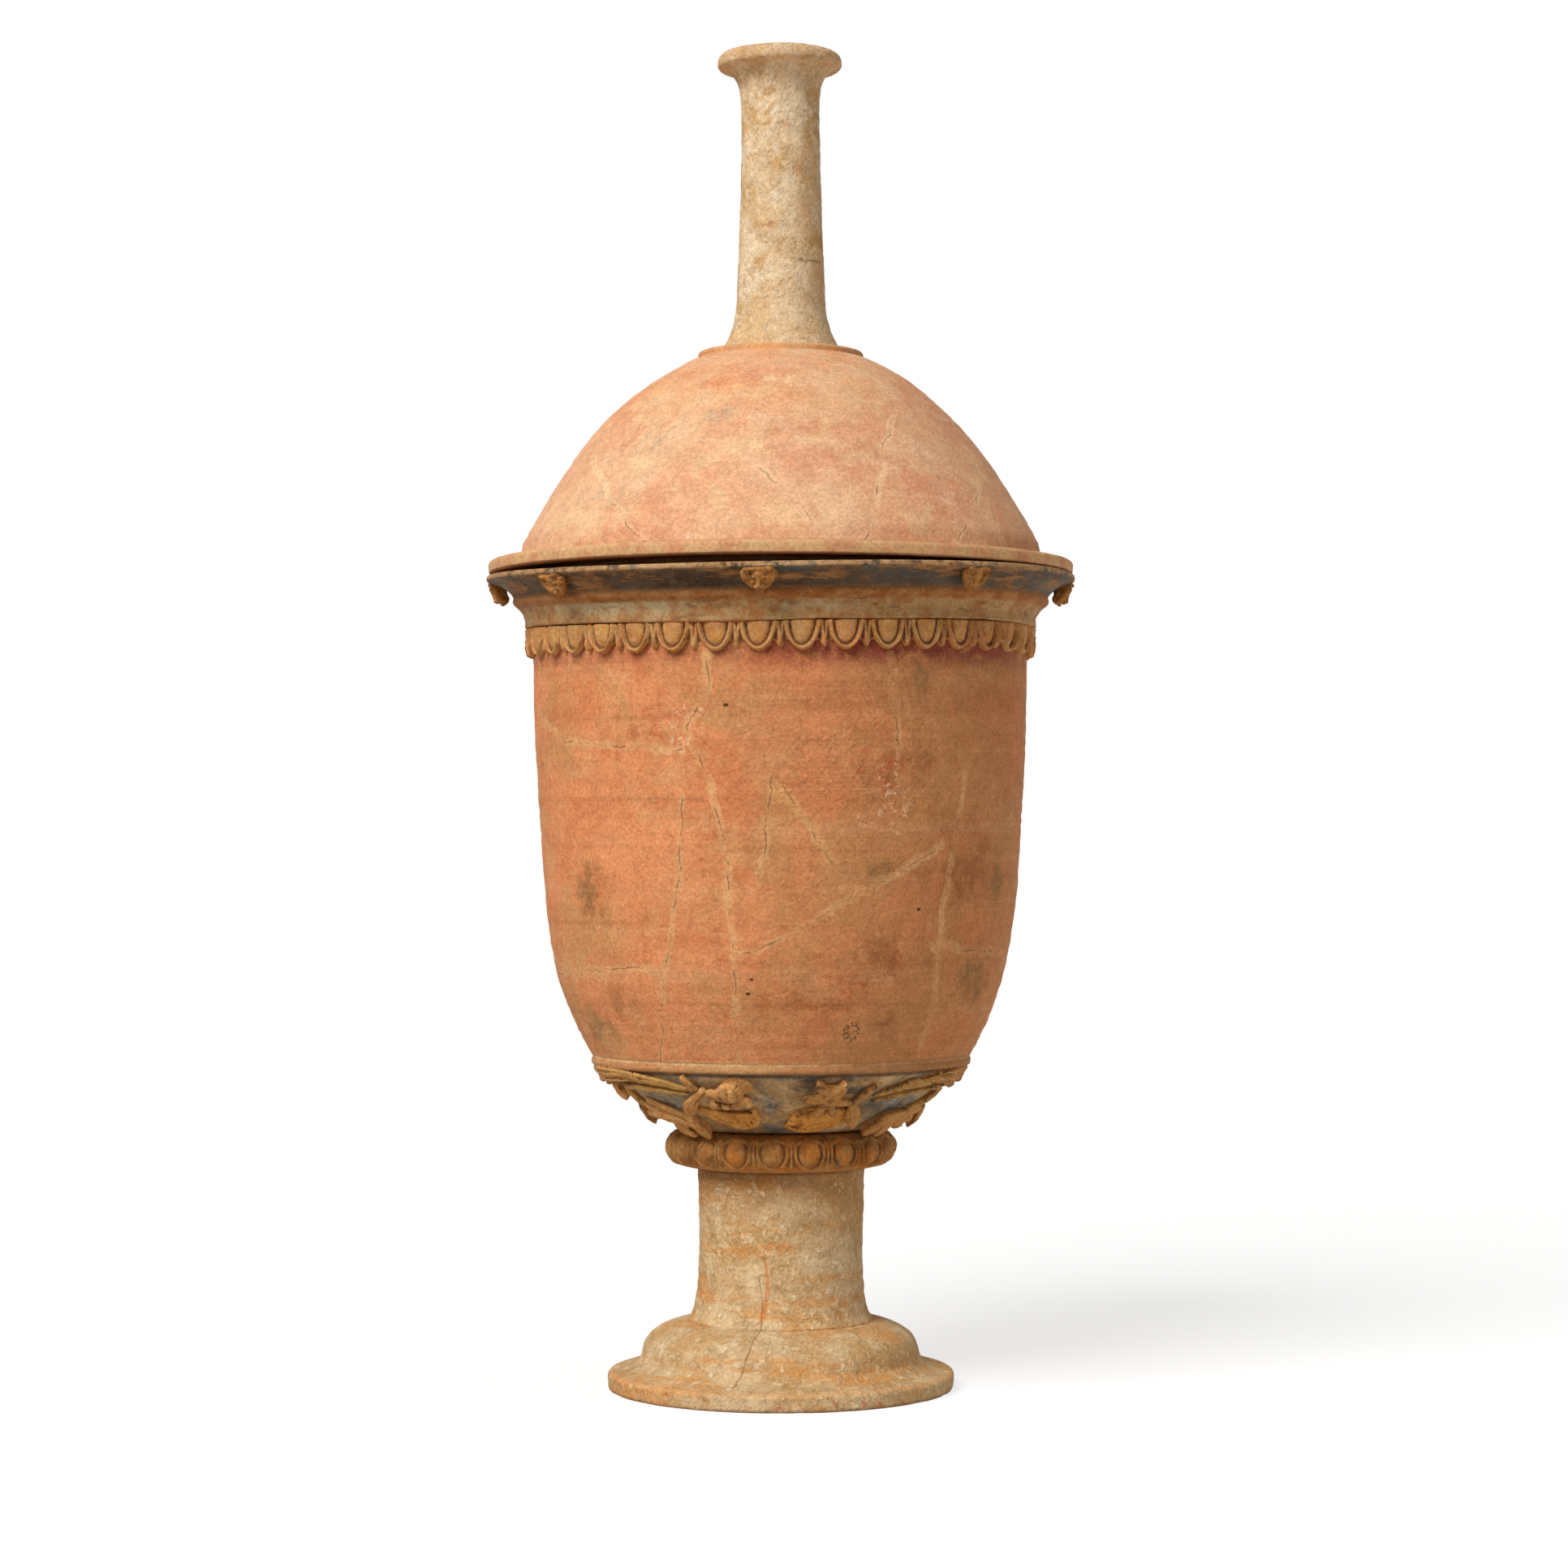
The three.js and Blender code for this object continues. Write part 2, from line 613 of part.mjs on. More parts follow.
const lidClearance = solidOf(
  thrown([[0, rimTop], [headReach, rimTop], [headReach, lidTop], [0, lidTop]], LATHE_SIDES),
);
LION_AZIMUTHS.forEach((azimuth, i) => {
  const theta = rad(azimuth);
  const tilt = rad(LION_TILT);
  const place = (across, along, lift) => {
    const out = lionRadius + lift * Math.cos(tilt) + along * Math.sin(tilt);
    const z = lionHeight - lift * Math.sin(tilt) + along * Math.cos(tilt);
    return [
      out * Math.sin(theta) + across * Math.cos(theta),
      -out * Math.cos(theta) + across * Math.sin(theta),
      z,
    ];
  };
  const head = lump(8, [1, 0.84, 0.62, 0.34], lionOutline, lionRelief, LION_WIDTH / 2, place);
  add(`lion_head_${i + 1}`, cut(sagged(head), [bowlCutter, lidClearance]), OCHRE, 0.85);
});

// A point above the cone: slope is the distance up its surface, lift the distance out of it
const coneLength = coneCurve.getLength();
function onCone(azimuth, slope, lift) {
  const share = THREE.MathUtils.clamp(slope / coneLength, 0, 1);
  const beyond = slope - share * coneLength;
  const point = coneCurve.getPointAt(share);
  const along = coneCurve.getTangentAt(share);
  const radius = point.x + along.x * beyond + along.y * lift;
  const z = point.y + along.y * beyond - along.x * lift;
  return [radius * Math.sin(azimuth), -radius * Math.cos(azimuth), z];
}

// Sets a relief on the cone at its place in one of the quarters: each quarter starts at the middle of
// the front or the back and runs to the right or the left
function onQuarter(spot, quarter) {
  const turn = rad(spot.turn);
  const radius = coneCurve.getPointAt(spot.slope / coneLength).x;
  return (across, along, lift) => {
    const sideways = along * Math.sin(turn) + across * Math.cos(turn);
    const up = along * Math.cos(turn) - across * Math.sin(turn);
    const azimuth = rad(spot.azimuth) + sideways / radius;
    return onCone(quarter.start + quarter.sign * azimuth, spot.slope + up, lift);
  };
}

// Outlines and heights of the reliefs, along from the root (negative) to the tip (positive)
const leafOutline = (relief) => (angle) => [
  (relief.width / 2) * Math.cos(angle) * (1 - 0.25 * Math.sin(angle)),
  (relief.length / 2) * Math.sin(angle),
];
const lobedOutline = (relief) => (angle) => {
  const lobe = 1 + 0.16 * Math.cos(5 * angle);
  return [(relief.width / 2) * Math.cos(angle) * lobe, (relief.length / 2) * Math.sin(angle) * lobe];
};
const flowerOutline = (relief) => (angle) => {
  const reach = (relief.width / 2) * (Math.cos(relief.petals * angle) > 0 ? 1 : 0.52);
  return [reach * Math.sin(angle), reach * Math.cos(angle)];
};
const rounded = (relief) => (share) => relief.relief * Math.sqrt(1 - share * share);
const hollowed = (relief) => (share) => relief.relief * (share === 0 ? 0.75 : 1 - share ** 4 * 0.75);
const boss = (relief) => (share) => relief.relief * (share === 0 ? 1 : 0.62 + 0.2 * share);

// Each relief gives way, by the seat gap, to those listed before it
const RELIEFS = {
  flower: { spec: FLOWER, sides: 2 * FLOWER.petals, inner: 0.3, outline: flowerOutline, height: boss },
  drop_petal: { spec: DROP_PETAL, sides: 8, inner: 0.6, outline: leafOutline, height: rounded },
  boat_leaf: { spec: BOAT_LEAF, sides: 8, inner: 0.7, outline: leafOutline, height: hollowed },
  small_leaf: { spec: SMALL_LEAF, sides: 6, inner: 0.6, outline: leafOutline, height: rounded },
  calyx_sheath: { spec: SHEATH, sides: 8, inner: 0.6, outline: leafOutline, height: rounded },
  upper_stem: { spec: UPPER_STEM, sides: 8, inner: 0.6, outline: leafOutline, height: rounded },
  lower_stem: { spec: LOWER_STEM, sides: 8, inner: 0.6, outline: leafOutline, height: rounded },
  lower_flower: { spec: LOWER_FLOWER, sides: 10, inner: 0.55, outline: lobedOutline, height: hollowed },
  leaf_tip: { spec: LEAF_TIP, sides: 6, inner: 0.6, outline: leafOutline, height: rounded },
};
const QUARTERS = {
  front_right: { start: 0, sign: 1, places: RIGHT_PLACES },
  front_left: { start: 0, sign: -1, places: LEFT_PLACES },
  back_right: { start: Math.PI, sign: -1, places: LEFT_PLACES },
  back_left: { start: Math.PI, sign: 1, places: RIGHT_PLACES },
};
function reliefOn(kind, spot, quarter, grow) {
  const spec = {
    ...kind.spec,
    width: kind.spec.width + 2 * grow,
    length: (kind.spec.length ?? 0) + 2 * grow,
    relief: kind.spec.relief + grow,
  };
  const height = (share, angle) => (share === 1 ? 0 : kind.height(spec)(share, angle));
  const shares = [1, kind.inner];
  return lump(kind.sides, shares, kind.outline(spec), height, RELIEF_ROOT, onQuarter(spot, quarter));
}
for (const [side, quarter] of Object.entries(QUARTERS)) {
  const cutters = [bowlCutter, ringCutter];
  for (const [name, kind] of Object.entries(RELIEFS)) {
    const spot = quarter.places[name];
    add(`${side}_${name}`, cut(reliefOn(kind, spot, quarter, 0), cutters), OCHRE, 0.85);
    cutters.push(solidOf(reliefOn(kind, spot, quarter, SEAT_GAP)));
  }
}

// Knobs at the sides, where the scrolls of front and back meet
const knobSpot = { azimuth: 90, slope: KNOB_SLOPE, turn: 0 };
const knobKind = { spec: KNOB, sides: 8, inner: 0.7, outline: leafOutline, height: rounded };
for (const [name, sign] of [["right_knob", 1], ["left_knob", -1]]) {
  const knob = reliefOn(knobKind, knobSpot, { start: 0, sign }, 0);
  add(name, cut(knob, [bowlCutter]), OCHRE, 0.85);
}

part.name = "pyxis";
export default part;
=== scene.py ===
"""Covered pyxis on a tall foot: painted terracotta with egg rings, lion heads and scroll reliefs.

Lengths below are in millimetres, as a potter would give them, and become metres when a piece is finished.
Azimuths are in degrees, 0 at the front (-Y) and growing to the right.
"""
import bisect
import math
import random
from functools import cached_property, partial, reduce

import bmesh
import bpy
import numpy as np
from mathutils import Matrix, Vector, noise
from mathutils.geometry import interpolate_bezier


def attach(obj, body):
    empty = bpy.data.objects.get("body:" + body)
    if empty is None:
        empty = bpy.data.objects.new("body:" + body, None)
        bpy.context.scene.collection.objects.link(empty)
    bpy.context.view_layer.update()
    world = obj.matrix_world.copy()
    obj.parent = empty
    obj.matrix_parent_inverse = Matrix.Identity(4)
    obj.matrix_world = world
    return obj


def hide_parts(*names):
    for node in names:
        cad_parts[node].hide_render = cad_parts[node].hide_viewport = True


MM = 0.001

# The photographer's place in metres; sensor and lens in millimetres
CAMERA_PLACE = (0.0017, -1.848, 0.280)
CAMERA_TILT = 90.96
CAMERA_LENS = 82.0
SENSOR_WIDTH = 36.0
NEAREST_SEEN = 0.05

# Light, and the floor as the lens sees it; a lamp is (azimuth, height in degrees, softness, strength)
WORLD_LIGHT = 0.15
WORLD_TINT = (1.0, 0.86, 0.70, 1.0)
KEY_LAMP = (-36, 42, 32, 3.3)
RIGHT_LAMP = (112, 12, 30, 0.1)
CARD_LIGHT = 0.55
CARD_SIZE = 0.3
CARD_PLACE = (0.55, -0.2, 0.1)
CARD_AZIMUTH = 70
FLOOR_HALF_SIZE = 40.0
FLOOR_TINT = (0.62, 0.57, 0.51, 1.0)
SHADOW_SHARE = 0.3
FLOOR_GLOW = 0.75

# Foot and stem
FOOT_RADIUS = 89.3
FOOT_EDGE_HEIGHT = 9.0
FOOT_DOME_RADIUS = 71.0
FOOT_HEIGHT = 35.0
FOOT_WALL = 8.0
FOOT_BORE = 37.0
STEM_BASE = 35.3
STEM_TOP = 114.0
STEM_WALL = 7.0

# Ring of large eggs
RING_BASE = 114.3
RING_TOP = 134.0
RING_RADIUS = 58.0
RING_EDGE_RADIUS = 49.0
RING_BORE = 43.6
RING_EGGS = 19
RING_TURN = -4.0

# Bowl
BOWL_WALL = 7.0
NECK_FLOOR = 131.5
NECK_BORE = 36.0
NECK_RADIUS = 42.0
CONE_BASE = 134.3
CONE_TOP = 166.3
BODY_BASE = 171.3
BODY_RADIUS = 127.4
BODY_TOP = 375.3
BAND_TOP = 390.9
BAND_HEIGHT = 15.6
BAND_EGGS = 38
BAND_REACH = BODY_RADIUS + 3.5
CORNICE_BASE = 391.2
COVE_RADIUS = 132.0
RIDGE_BASE = 401.6
FLARE_BASE = 406.8
LIP_BASE = 415.1
RIM_TOP = 418.3
RIM_RADIUS = 152.0
FLARE_RADIUS = 138.0
MOUTH_RADIUS = 131.0
DIP_DEPTH = 4.0
DIP_AZIMUTH = -20.0
SAG_START = (BODY_BASE + BODY_TOP) / 2

# Lid and finial
LID_BASE = 418.6
LID_DOME_BASE = 425.2
LID_TOP = 534.3
LID_RADIUS = 135.0
LID_WALL = 6.0
FLANGE_RADIUS = 151.0
FINIAL_BASE = 534.6
FINIAL_TOP = 690.1
FINIAL_DISC_BASE = 681.6
FINIAL_DISC_RADIUS = 32.4
FINIAL_WALL = 6.0
FINIAL_SIDES = 192

# Lion heads
LION_AZIMUTHS = (-4, 40, 92, 138, 180, -136, -92, -49)
LION_TILT = 35.0
LION_SCALE = (1, 0.92, 1.2)

# Fineness
THROWN_SIDES = 256
CLAY_VOXEL = 0.45

# Grain of the clay: each seed's shift of a pattern in metres, and what sand and rubbing do to a colour
SEED_SHIFT = (0.73, 0.41, -0.57)
GRIT_SIZE = 1.7
GRIT_SHADES = (0.78, 0.7566, 0.7332, 1.0), (1.12, 1.12, 1.12, 1.0)
RUBBED_SHADES = (0.9, 0.88, 0.86, 1.0), (1.04, 1.04, 1.04, 1.0)

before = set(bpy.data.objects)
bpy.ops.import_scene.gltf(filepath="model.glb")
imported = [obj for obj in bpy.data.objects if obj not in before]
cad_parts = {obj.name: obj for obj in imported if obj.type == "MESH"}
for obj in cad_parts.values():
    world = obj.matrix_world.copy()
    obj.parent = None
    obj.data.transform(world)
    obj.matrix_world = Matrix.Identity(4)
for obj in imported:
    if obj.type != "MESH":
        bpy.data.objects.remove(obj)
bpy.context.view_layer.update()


# Outlines of thrown pieces, as (radius, height)
def bent(start, bend_one, bend_two, end, steps):
    """A smooth stretch of outline; each bend is a share of the way in radius and in height."""
    def at(share):
        return Vector([a + (b - a) * part for a, b, part in zip(start, end, share)])

    points = interpolate_bezier(Vector(start), at(bend_one), at(bend_two), Vector(end), steps)
    return [(point[0], point[1]) for point in points]


def softened(outline, size, steps=3):
    """The outline with its corners rounded off, as wet fingers leave them."""
    points = [Vector(point) for point in outline]
    result = [outline[0]]
    for before, corner, after in zip(points, points[1:], points[2:]):
        into, out = before - corner, after - corner
        reach = min(size, into.length * 0.45, out.length * 0.45)
        start = corner + into.normalized() * reach
        end = corner + out.normalized() * reach
        for i in range(steps + 1):
            t = i / steps
            point = start * (1 - t) ** 2 + corner * 2 * t * (1 - t) + end * t * t
            result.append((point[0], point[1]))
    result.append(outline[-1])
    return result


def spaced(outline, step):
    """The outline with points added wherever two lie further apart than the step."""
    result = [outline[0]]
    for (r0, z0), (r1, z1) in zip(outline, outline[1:]):
        wide, tall = r1 - r0, z1 - z0
        count = max(1, math.ceil(math.hypot(wide, tall) / step))
        result += [(r0 + wide * i / count, z0 + tall * i / count) for i in range(1, count + 1)]
    return result


def inside(outline, wall):
    """The inner face of a wall that follows the outline, listed from its end back to its start."""
    result = []
    for i, (radius, height) in enumerate(outline):
        before = outline[max(i - 1, 0)]
        after = outline[min(i + 1, len(outline) - 1)]
        along = Vector((after[0] - before[0], after[1] - before[1])).normalized()
        result.append((radius - along[1] * wall, height + along[0] * wall))
    return result[::-1]


def cylinder_place(co):
    """Azimuth in radians, radius and height in millimetres of a point given in millimetres."""
    return math.atan2(co.x, -co.y), math.hypot(co.x, co.y), co.z


def smoothstep(value, low, high):
    t = min(max((value - low) / (high - low), 0.0), 1.0)
    return t * t * (3 - 2 * t)


def turned(outline, sides, closed=False):
    """A bmesh thrown on the wheel: the outline spun an eighth of the way, then doubled till it closes."""
    clay = bmesh.new()
    verts = [clay.verts.new((0, -max(radius, 0), height)) for radius, height in outline]
    edges = [clay.edges.new(pair) for pair in zip(verts, verts[1:])]
    if closed:
        edges.append(clay.edges.new((verts[-1], verts[0])))
    bmesh.ops.spin(
        clay, geom=verts + edges, cent=(0, 0, 0), axis=(0, 0, 1), dvec=(0, 0, 0),
        angle=math.tau / 8, steps=sides // 8,
    )
    for share in (8, 4, 2):
        copy = bmesh.ops.duplicate(clay, geom=list(clay.verts) + list(clay.edges) + list(clay.faces))
        copied = [part for part in copy["geom"] if isinstance(part, bmesh.types.BMVert)]
        onward = Matrix.Rotation(math.tau / share, 3, "Z")
        bmesh.ops.rotate(clay, verts=copied, cent=(0, 0, 0), matrix=onward)
    bmesh.ops.remove_doubles(clay, verts=clay.verts, dist=1e-3)
    bmesh.ops.recalc_face_normals(clay, faces=clay.faces)
    return clay


def worked(clay, dents, rings, calm, edges=(), seed=0.0):
    """Marks of hand and wheel: shallow dents, turning rings and chipped edges, less where calm is small.

    Each edge is (radius, height, reach, depth) of a place that has been knocked.
    """
    clay.normal_update()
    shift = Vector((seed * 7.3, seed * 3.1, seed))
    moves = []
    for vert in clay.verts:
        azimuth, radius, height = cylinder_place(vert.co)
        share = calm(radius, height)
        dent = noise.noise(vert.co * 0.016 + shift) * dents
        dent += noise.noise(vert.co * 0.05 + shift) * dents * 0.35
        wobble = Vector((math.cos(azimuth), math.sin(azimuth), height * 0.42))
        ring = noise.noise(wobble + shift) * rings
        knock = 0.0
        for edge_radius, edge_height, reach, depth in edges:
            away = math.hypot(radius - edge_radius, height - edge_height)
            if away < reach:
                rough = noise.noise(vert.co * 0.09 + shift * 2) + 0.5 * noise.noise(vert.co * 0.33 + shift)
                knock += depth * max(rough - 0.22, 0.0) * (1 - (away / reach) ** 2)
        moves.append(vert.normal * (share * (dent + ring) - knock))
    for vert, move in zip(clay.verts, moves):
        vert.co += move
    return clay


def dip(azimuth):
    """How far the rim sank in the kiln at this azimuth, given in radians."""
    return DIP_DEPTH * (1 + math.cos(2 * (azimuth - math.radians(DIP_AZIMUTH)))) / 2


def sagged(clay):
    """The kiln pulled the upper wall and the rim down at two opposite places."""
    for vert in clay.verts:
        azimuth, radius, height = cylinder_place(vert.co)
        vert.co.z -= dip(azimuth) * smoothstep(height, SAG_START, RIM_TOP)
    return clay


def smoothed(clay, factor):
    bmesh.ops.smooth_vert(
        clay, verts=clay.verts, factor=factor, use_axis_x=True, use_axis_y=True, use_axis_z=True,
    )


def mark_hidden(clay, hidden):
    """Gives inner faces the second material; hidden(outward, up, radius) reads a face's place."""
    clay.normal_update()
    for face in clay.faces:
        middle = face.calc_center_median()
        radius = math.hypot(middle.x, middle.y)
        outward = (face.normal.x * middle.x + face.normal.y * middle.y) / max(radius, 0.001)
        face.material_index = int(hidden(outward, face.normal.z, radius))
    return clay


def note_proud_places(mesh, rounds, depth):
    """Stores how far each vertex stands out of its surroundings: 0.5 level, 1 a worn crest, 0 a hollow."""
    count = len(mesh.vertices)
    co = np.zeros(count * 3)
    normals = np.zeros(count * 3)
    ends = np.zeros(len(mesh.edges) * 2, int)
    mesh.vertices.foreach_get("co", co)
    mesh.vertices.foreach_get("normal", normals)
    mesh.edges.foreach_get("vertices", ends)
    co = co.reshape(-1, 3)
    one, two = ends.reshape(-1, 2).T
    neighbours = np.bincount(one, minlength=count) + np.bincount(two, minlength=count)
    level = co.copy()
    for _ in range(rounds):
        total = np.zeros_like(level)
        for axis in range(3):
            total[:, axis] += np.bincount(one, level[two, axis], count)
            total[:, axis] += np.bincount(two, level[one, axis], count)
        level = total / np.maximum(neighbours, 1)[:, None]
    out = ((co - level) * normals.reshape(-1, 3)).sum(axis=1) / (depth * MM)
    layer = mesh.attributes.new("proud", "FLOAT", "POINT")
    layer.data.foreach_set("value", np.clip(0.5 + out * 0.5, 0, 1))


def put(name, data):
    """A new object in the scene."""
    thing = bpy.data.objects.new(name, data)
    bpy.context.collection.objects.link(thing)
    return thing


def mesh_of(name, clay):
    mesh = bpy.data.meshes.new(name)
    clay.to_mesh(mesh)
    clay.free()
    return mesh


def finished(name, clay, body, materials, node, crests=None):
    """Makes a piece of a bmesh in millimetres, lets it ride on a body and stand for its CAD node."""
    bmesh.ops.scale(clay, vec=(MM, MM, MM), verts=clay.verts)
    mesh = mesh_of(name, clay)
    mesh.shade_smooth()
    for material in materials:
        mesh.materials.append(material)
    if crests:
        note_proud_places(mesh, *crests)
    piece = put(name, mesh)
    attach(piece, body)
    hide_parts(node)


# Node trees
def tone(red, green, blue):
    """A colour as an eye reads it, 0 to 255, made ready for a shader."""
    def linear(value):
        value /= 255
        return value / 12.92 if value <= 0.04045 else ((value + 0.055) / 1.055) ** 2.4

    return (linear(red), linear(green), linear(blue), 1.0)


def feed(tree, socket, value):
    if isinstance(value, bpy.types.NodeSocket):
        tree.links.new(value, socket)
    else:
        socket.default_value = value


def add_node(tree, kind, inputs=(), **settings):
    """A new node; each input, named or counted from the first, is fed a value or another node's output."""
    node = tree.nodes.new("ShaderNode" + kind)
    for name, value in settings.items():
        setattr(node, name, value)
    rows = inputs.items() if isinstance(inputs, dict) else enumerate(inputs)
    for key, value in rows:
        feed(tree, node.inputs[key], value)
    return node


def add_math(tree, operation, *values, clamp=False):
    return add_node(tree, "Math", values, operation=operation, use_clamp=clamp).outputs[0]


class Finish:
    """A clay surface being painted: each call adds nodes and gives back an output."""

    def __init__(self, name):
        self.material = bpy.data.materials.new(name)
        self.material.use_nodes = True
        self.tree = self.material.node_tree
        self.math = partial(add_math, self.tree)
        self.add = partial(add_node, self.tree)
        self.place = self.add("TexCoord").outputs["Object"]
        split = self.add("SeparateXYZ", [self.place]).outputs
        self.height = self.math("MULTIPLY", split["Z"], 1 / MM)
        turn = self.math("ARCTAN2", split["X"], self.math("MULTIPLY", split["Y"], -1.0))
        self.azimuth = self.math("MULTIPLY", turn, 180 / math.pi)

    def soft(self, value, low, high):
        """0 at low and 1 at high, smooth between; low may be the larger one."""
        rising = low < high
        values = {
            "Value": value, "From Min": min(low, high), "From Max": max(low, high),
            "To Min": float(not rising), "To Max": float(rising),
        }
        return self.add("MapRange", values, interpolation_type="SMOOTHSTEP").outputs["Result"]

    def joined(self, operation, parts):
        """All the parts put together by one operation, such as MAXIMUM."""
        return reduce(partial(self.math, operation), parts)

    def both(self, *masks):
        return self.joined("MULTIPLY", masks)

    def either(self, *masks):
        return self.joined("MAXIMUM", masks)

    def scaled(self, value, factor, plus):
        return self.math("MULTIPLY_ADD", value, factor, plus)

    def degrees_from(self, azimuth):
        return self.math("ABSOLUTE", self.math("SUBTRACT", self.azimuth, azimuth))

    def shifted(self, seed, stretch=None):
        """Object coordinates, drawn out by (across, up) and moved so far that a pattern looks new."""
        place = self.place
        if stretch:
            across, up = stretch
            place = self.add("Mapping", {"Vector": place, "Scale": (across, across, up)}).outputs[0]
        if seed:
            shift = [seed * part for part in SEED_SHIFT]
            place = self.add("VectorMath", [place, shift], operation="ADD").outputs[0]
        return place

    def grain(self, size, detail=4, rough=0.55, twist=0.0, stretch=None, seed=0):
        """Noise whose blotches are about size millimetres across, drawn out for streaks."""
        values = {
            "Vector": self.shifted(seed, stretch), "Scale": 1 / (size * MM), "Detail": detail,
            "Roughness": rough, "Distortion": twist,
        }
        return self.add("TexNoise", values).outputs["Fac"]

    def patches(self, low, high, *grain, **more):
        """The blotches of a grain by themselves: 0 where it is at low and 1 where it is at high."""
        return self.soft(self.grain(*grain, **more), low, high)

    def proud(self):
        """How far the surface stands out here, as note_proud_places wrote it."""
        return self.add("Attribute", attribute_name="proud").outputs["Fac"]

    def cells(self, size, seed=0, feature="F1"):
        """Distance to scattered points about size millimetres apart."""
        values = {"Vector": self.shifted(seed), "Scale": 1 / (size * MM)}
        return self.add("TexVoronoi", values, feature=feature).outputs["Distance"]

    def mix(self, share, one, two, blend="MIX"):
        """Two colours mixed; the Mix node counts its colour inputs as 6 and 7."""
        return self.add("Mix", {0: share, 6: one, 7: two}, data_type="RGBA", blend_type=blend).outputs[2]

    def coat(self, colour, mask, share, red, green, blue):
        """The colour with a share of another brushed over it where the mask is."""
        return self.mix(self.both(mask, share), colour, tone(red, green, blue))

    def group(self, tree, **values):
        return self.add("Group", values, node_tree=tree).outputs[0]

    @cached_property
    def ragged(self):
        """One noise, shared by all stains of a finish, that frays their edges."""
        return self.grain(14, 5, 0.62)

    def spots(self, *rows):
        """Soft stains on the wall, 1 at their middles.

        Each row is (azimuth, height, half width in degrees, half height, wobble, edge), or any other mask.
        """
        def spot(azimuth, height, width, tall, wobble, edge):
            return self.group(
                SPOT, Azimuth=self.azimuth, Height=self.height, Middle=azimuth, Level=height,
                Width=width, Tall=tall, Ragged=self.ragged, Wobble=wobble, Edge=edge,
            )

        return self.either(*[spot(*row) if isinstance(row, tuple) else row for row in rows])

    @cached_property
    def wandering(self):
        """Azimuth and height, both wavering for cracks and joins."""
        sway, rise = [self.math("SUBTRACT", self.grain(16, 3, 0.6, seed=seed), 0.5) for seed in (3, 8)]
        return self.scaled(sway, 4.0, self.azimuth), self.scaled(rise, 9.0, self.height)

    def lines(self, lines, reach):
        """Distance in millimetres to the nearest line of (azimuth, height) points on a wall so far out."""
        turn, level = self.wandering
        stretches = [stretch for points in lines for stretch in zip(points, points[1:])]
        return self.joined("MINIMUM", [
            self.group(
                STRETCH, Azimuth=turn, Height=level, Reach=math.radians(reach),
                StartTurn=start[0], StartLevel=start[1], EndTurn=end[0], EndLevel=end[1],
            )
            for start, end in stretches
        ])

    def bump(self, height, distance, before=None):
        """Relief of a height output, distance in millimetres from its 0 to its 1, over what came before."""
        values = {"Strength": 1.0, "Distance": distance * MM, "Height": height}
        if before is not None:
            values["Normal"] = before
        return self.add("Bump", values).outputs[0]

    def speckled(self, colour):
        """The colour broken up into grains of coarse sand and into rubbed patches."""
        grit = self.mix(self.patches(0.34, 0.66, GRIT_SIZE, 5, 0.8, seed=31), *GRIT_SHADES)
        rubbed = self.mix(self.patches(0.36, 0.62, GRIT_SIZE * 5, 6, 0.75, seed=32), *RUBBED_SHADES)
        return self.mix(1.0, colour, self.mix(1.0, grit, rubbed, "MULTIPLY"), "MULTIPLY")

    def uneven(self, size, share, least):
        """A roughness that rises from its least by a share, in blotches of this size."""
        return self.scaled(self.grain(size, 4, 0.6, seed=27), share, least)

    def done(self, colour, roughness, normal, gloss=0.1):
        shader = self.tree.nodes["Principled BSDF"].inputs
        feed(self.tree, shader["Base Color"], self.speckled(colour))
        feed(self.tree, shader["Roughness"], roughness)
        feed(self.tree, shader["Normal"], normal)
        shader["Specular IOR Level"].default_value = gloss
        return self.material


def new_group(name, inputs):
    """An empty node group with number inputs and one result."""
    tree = bpy.data.node_groups.new(name, "ShaderNodeTree")
    for label in inputs:
        tree.interface.new_socket(label, in_out="INPUT", socket_type="NodeSocketFloat")
    tree.interface.new_socket("Result", in_out="OUTPUT", socket_type="NodeSocketFloat")
    given = tree.nodes.new("NodeGroupInput").outputs
    result = tree.nodes.new("NodeGroupOutput").inputs[0]
    return tree, given, result, partial(add_math, tree)


def make_spot_group():
    """1 inside an ellipse on the wall, falling to 0 over its frayed edge."""
    names = ("Azimuth", "Height", "Middle", "Level", "Width", "Tall", "Ragged", "Wobble", "Edge")
    tree, given, result, calc = new_group("stain", names)
    turn = calc("DIVIDE", calc("SUBTRACT", given["Azimuth"], given["Middle"]), given["Width"])
    rise = calc("DIVIDE", calc("SUBTRACT", given["Height"], given["Level"]), given["Tall"])
    square = calc("ADD", calc("MULTIPLY", turn, turn), calc("MULTIPLY", rise, rise))
    fray = calc("MULTIPLY", calc("SUBTRACT", given["Ragged"], 0.5), calc("MULTIPLY", given["Wobble"], 6.0))
    away = calc("ADD", calc("SQRT", square), fray)
    fall = calc("DIVIDE", calc("SUBTRACT", 1.0, away), given["Edge"], clamp=True)
    tree.links.new(calc("MULTIPLY", fall, fall), result)
    return tree


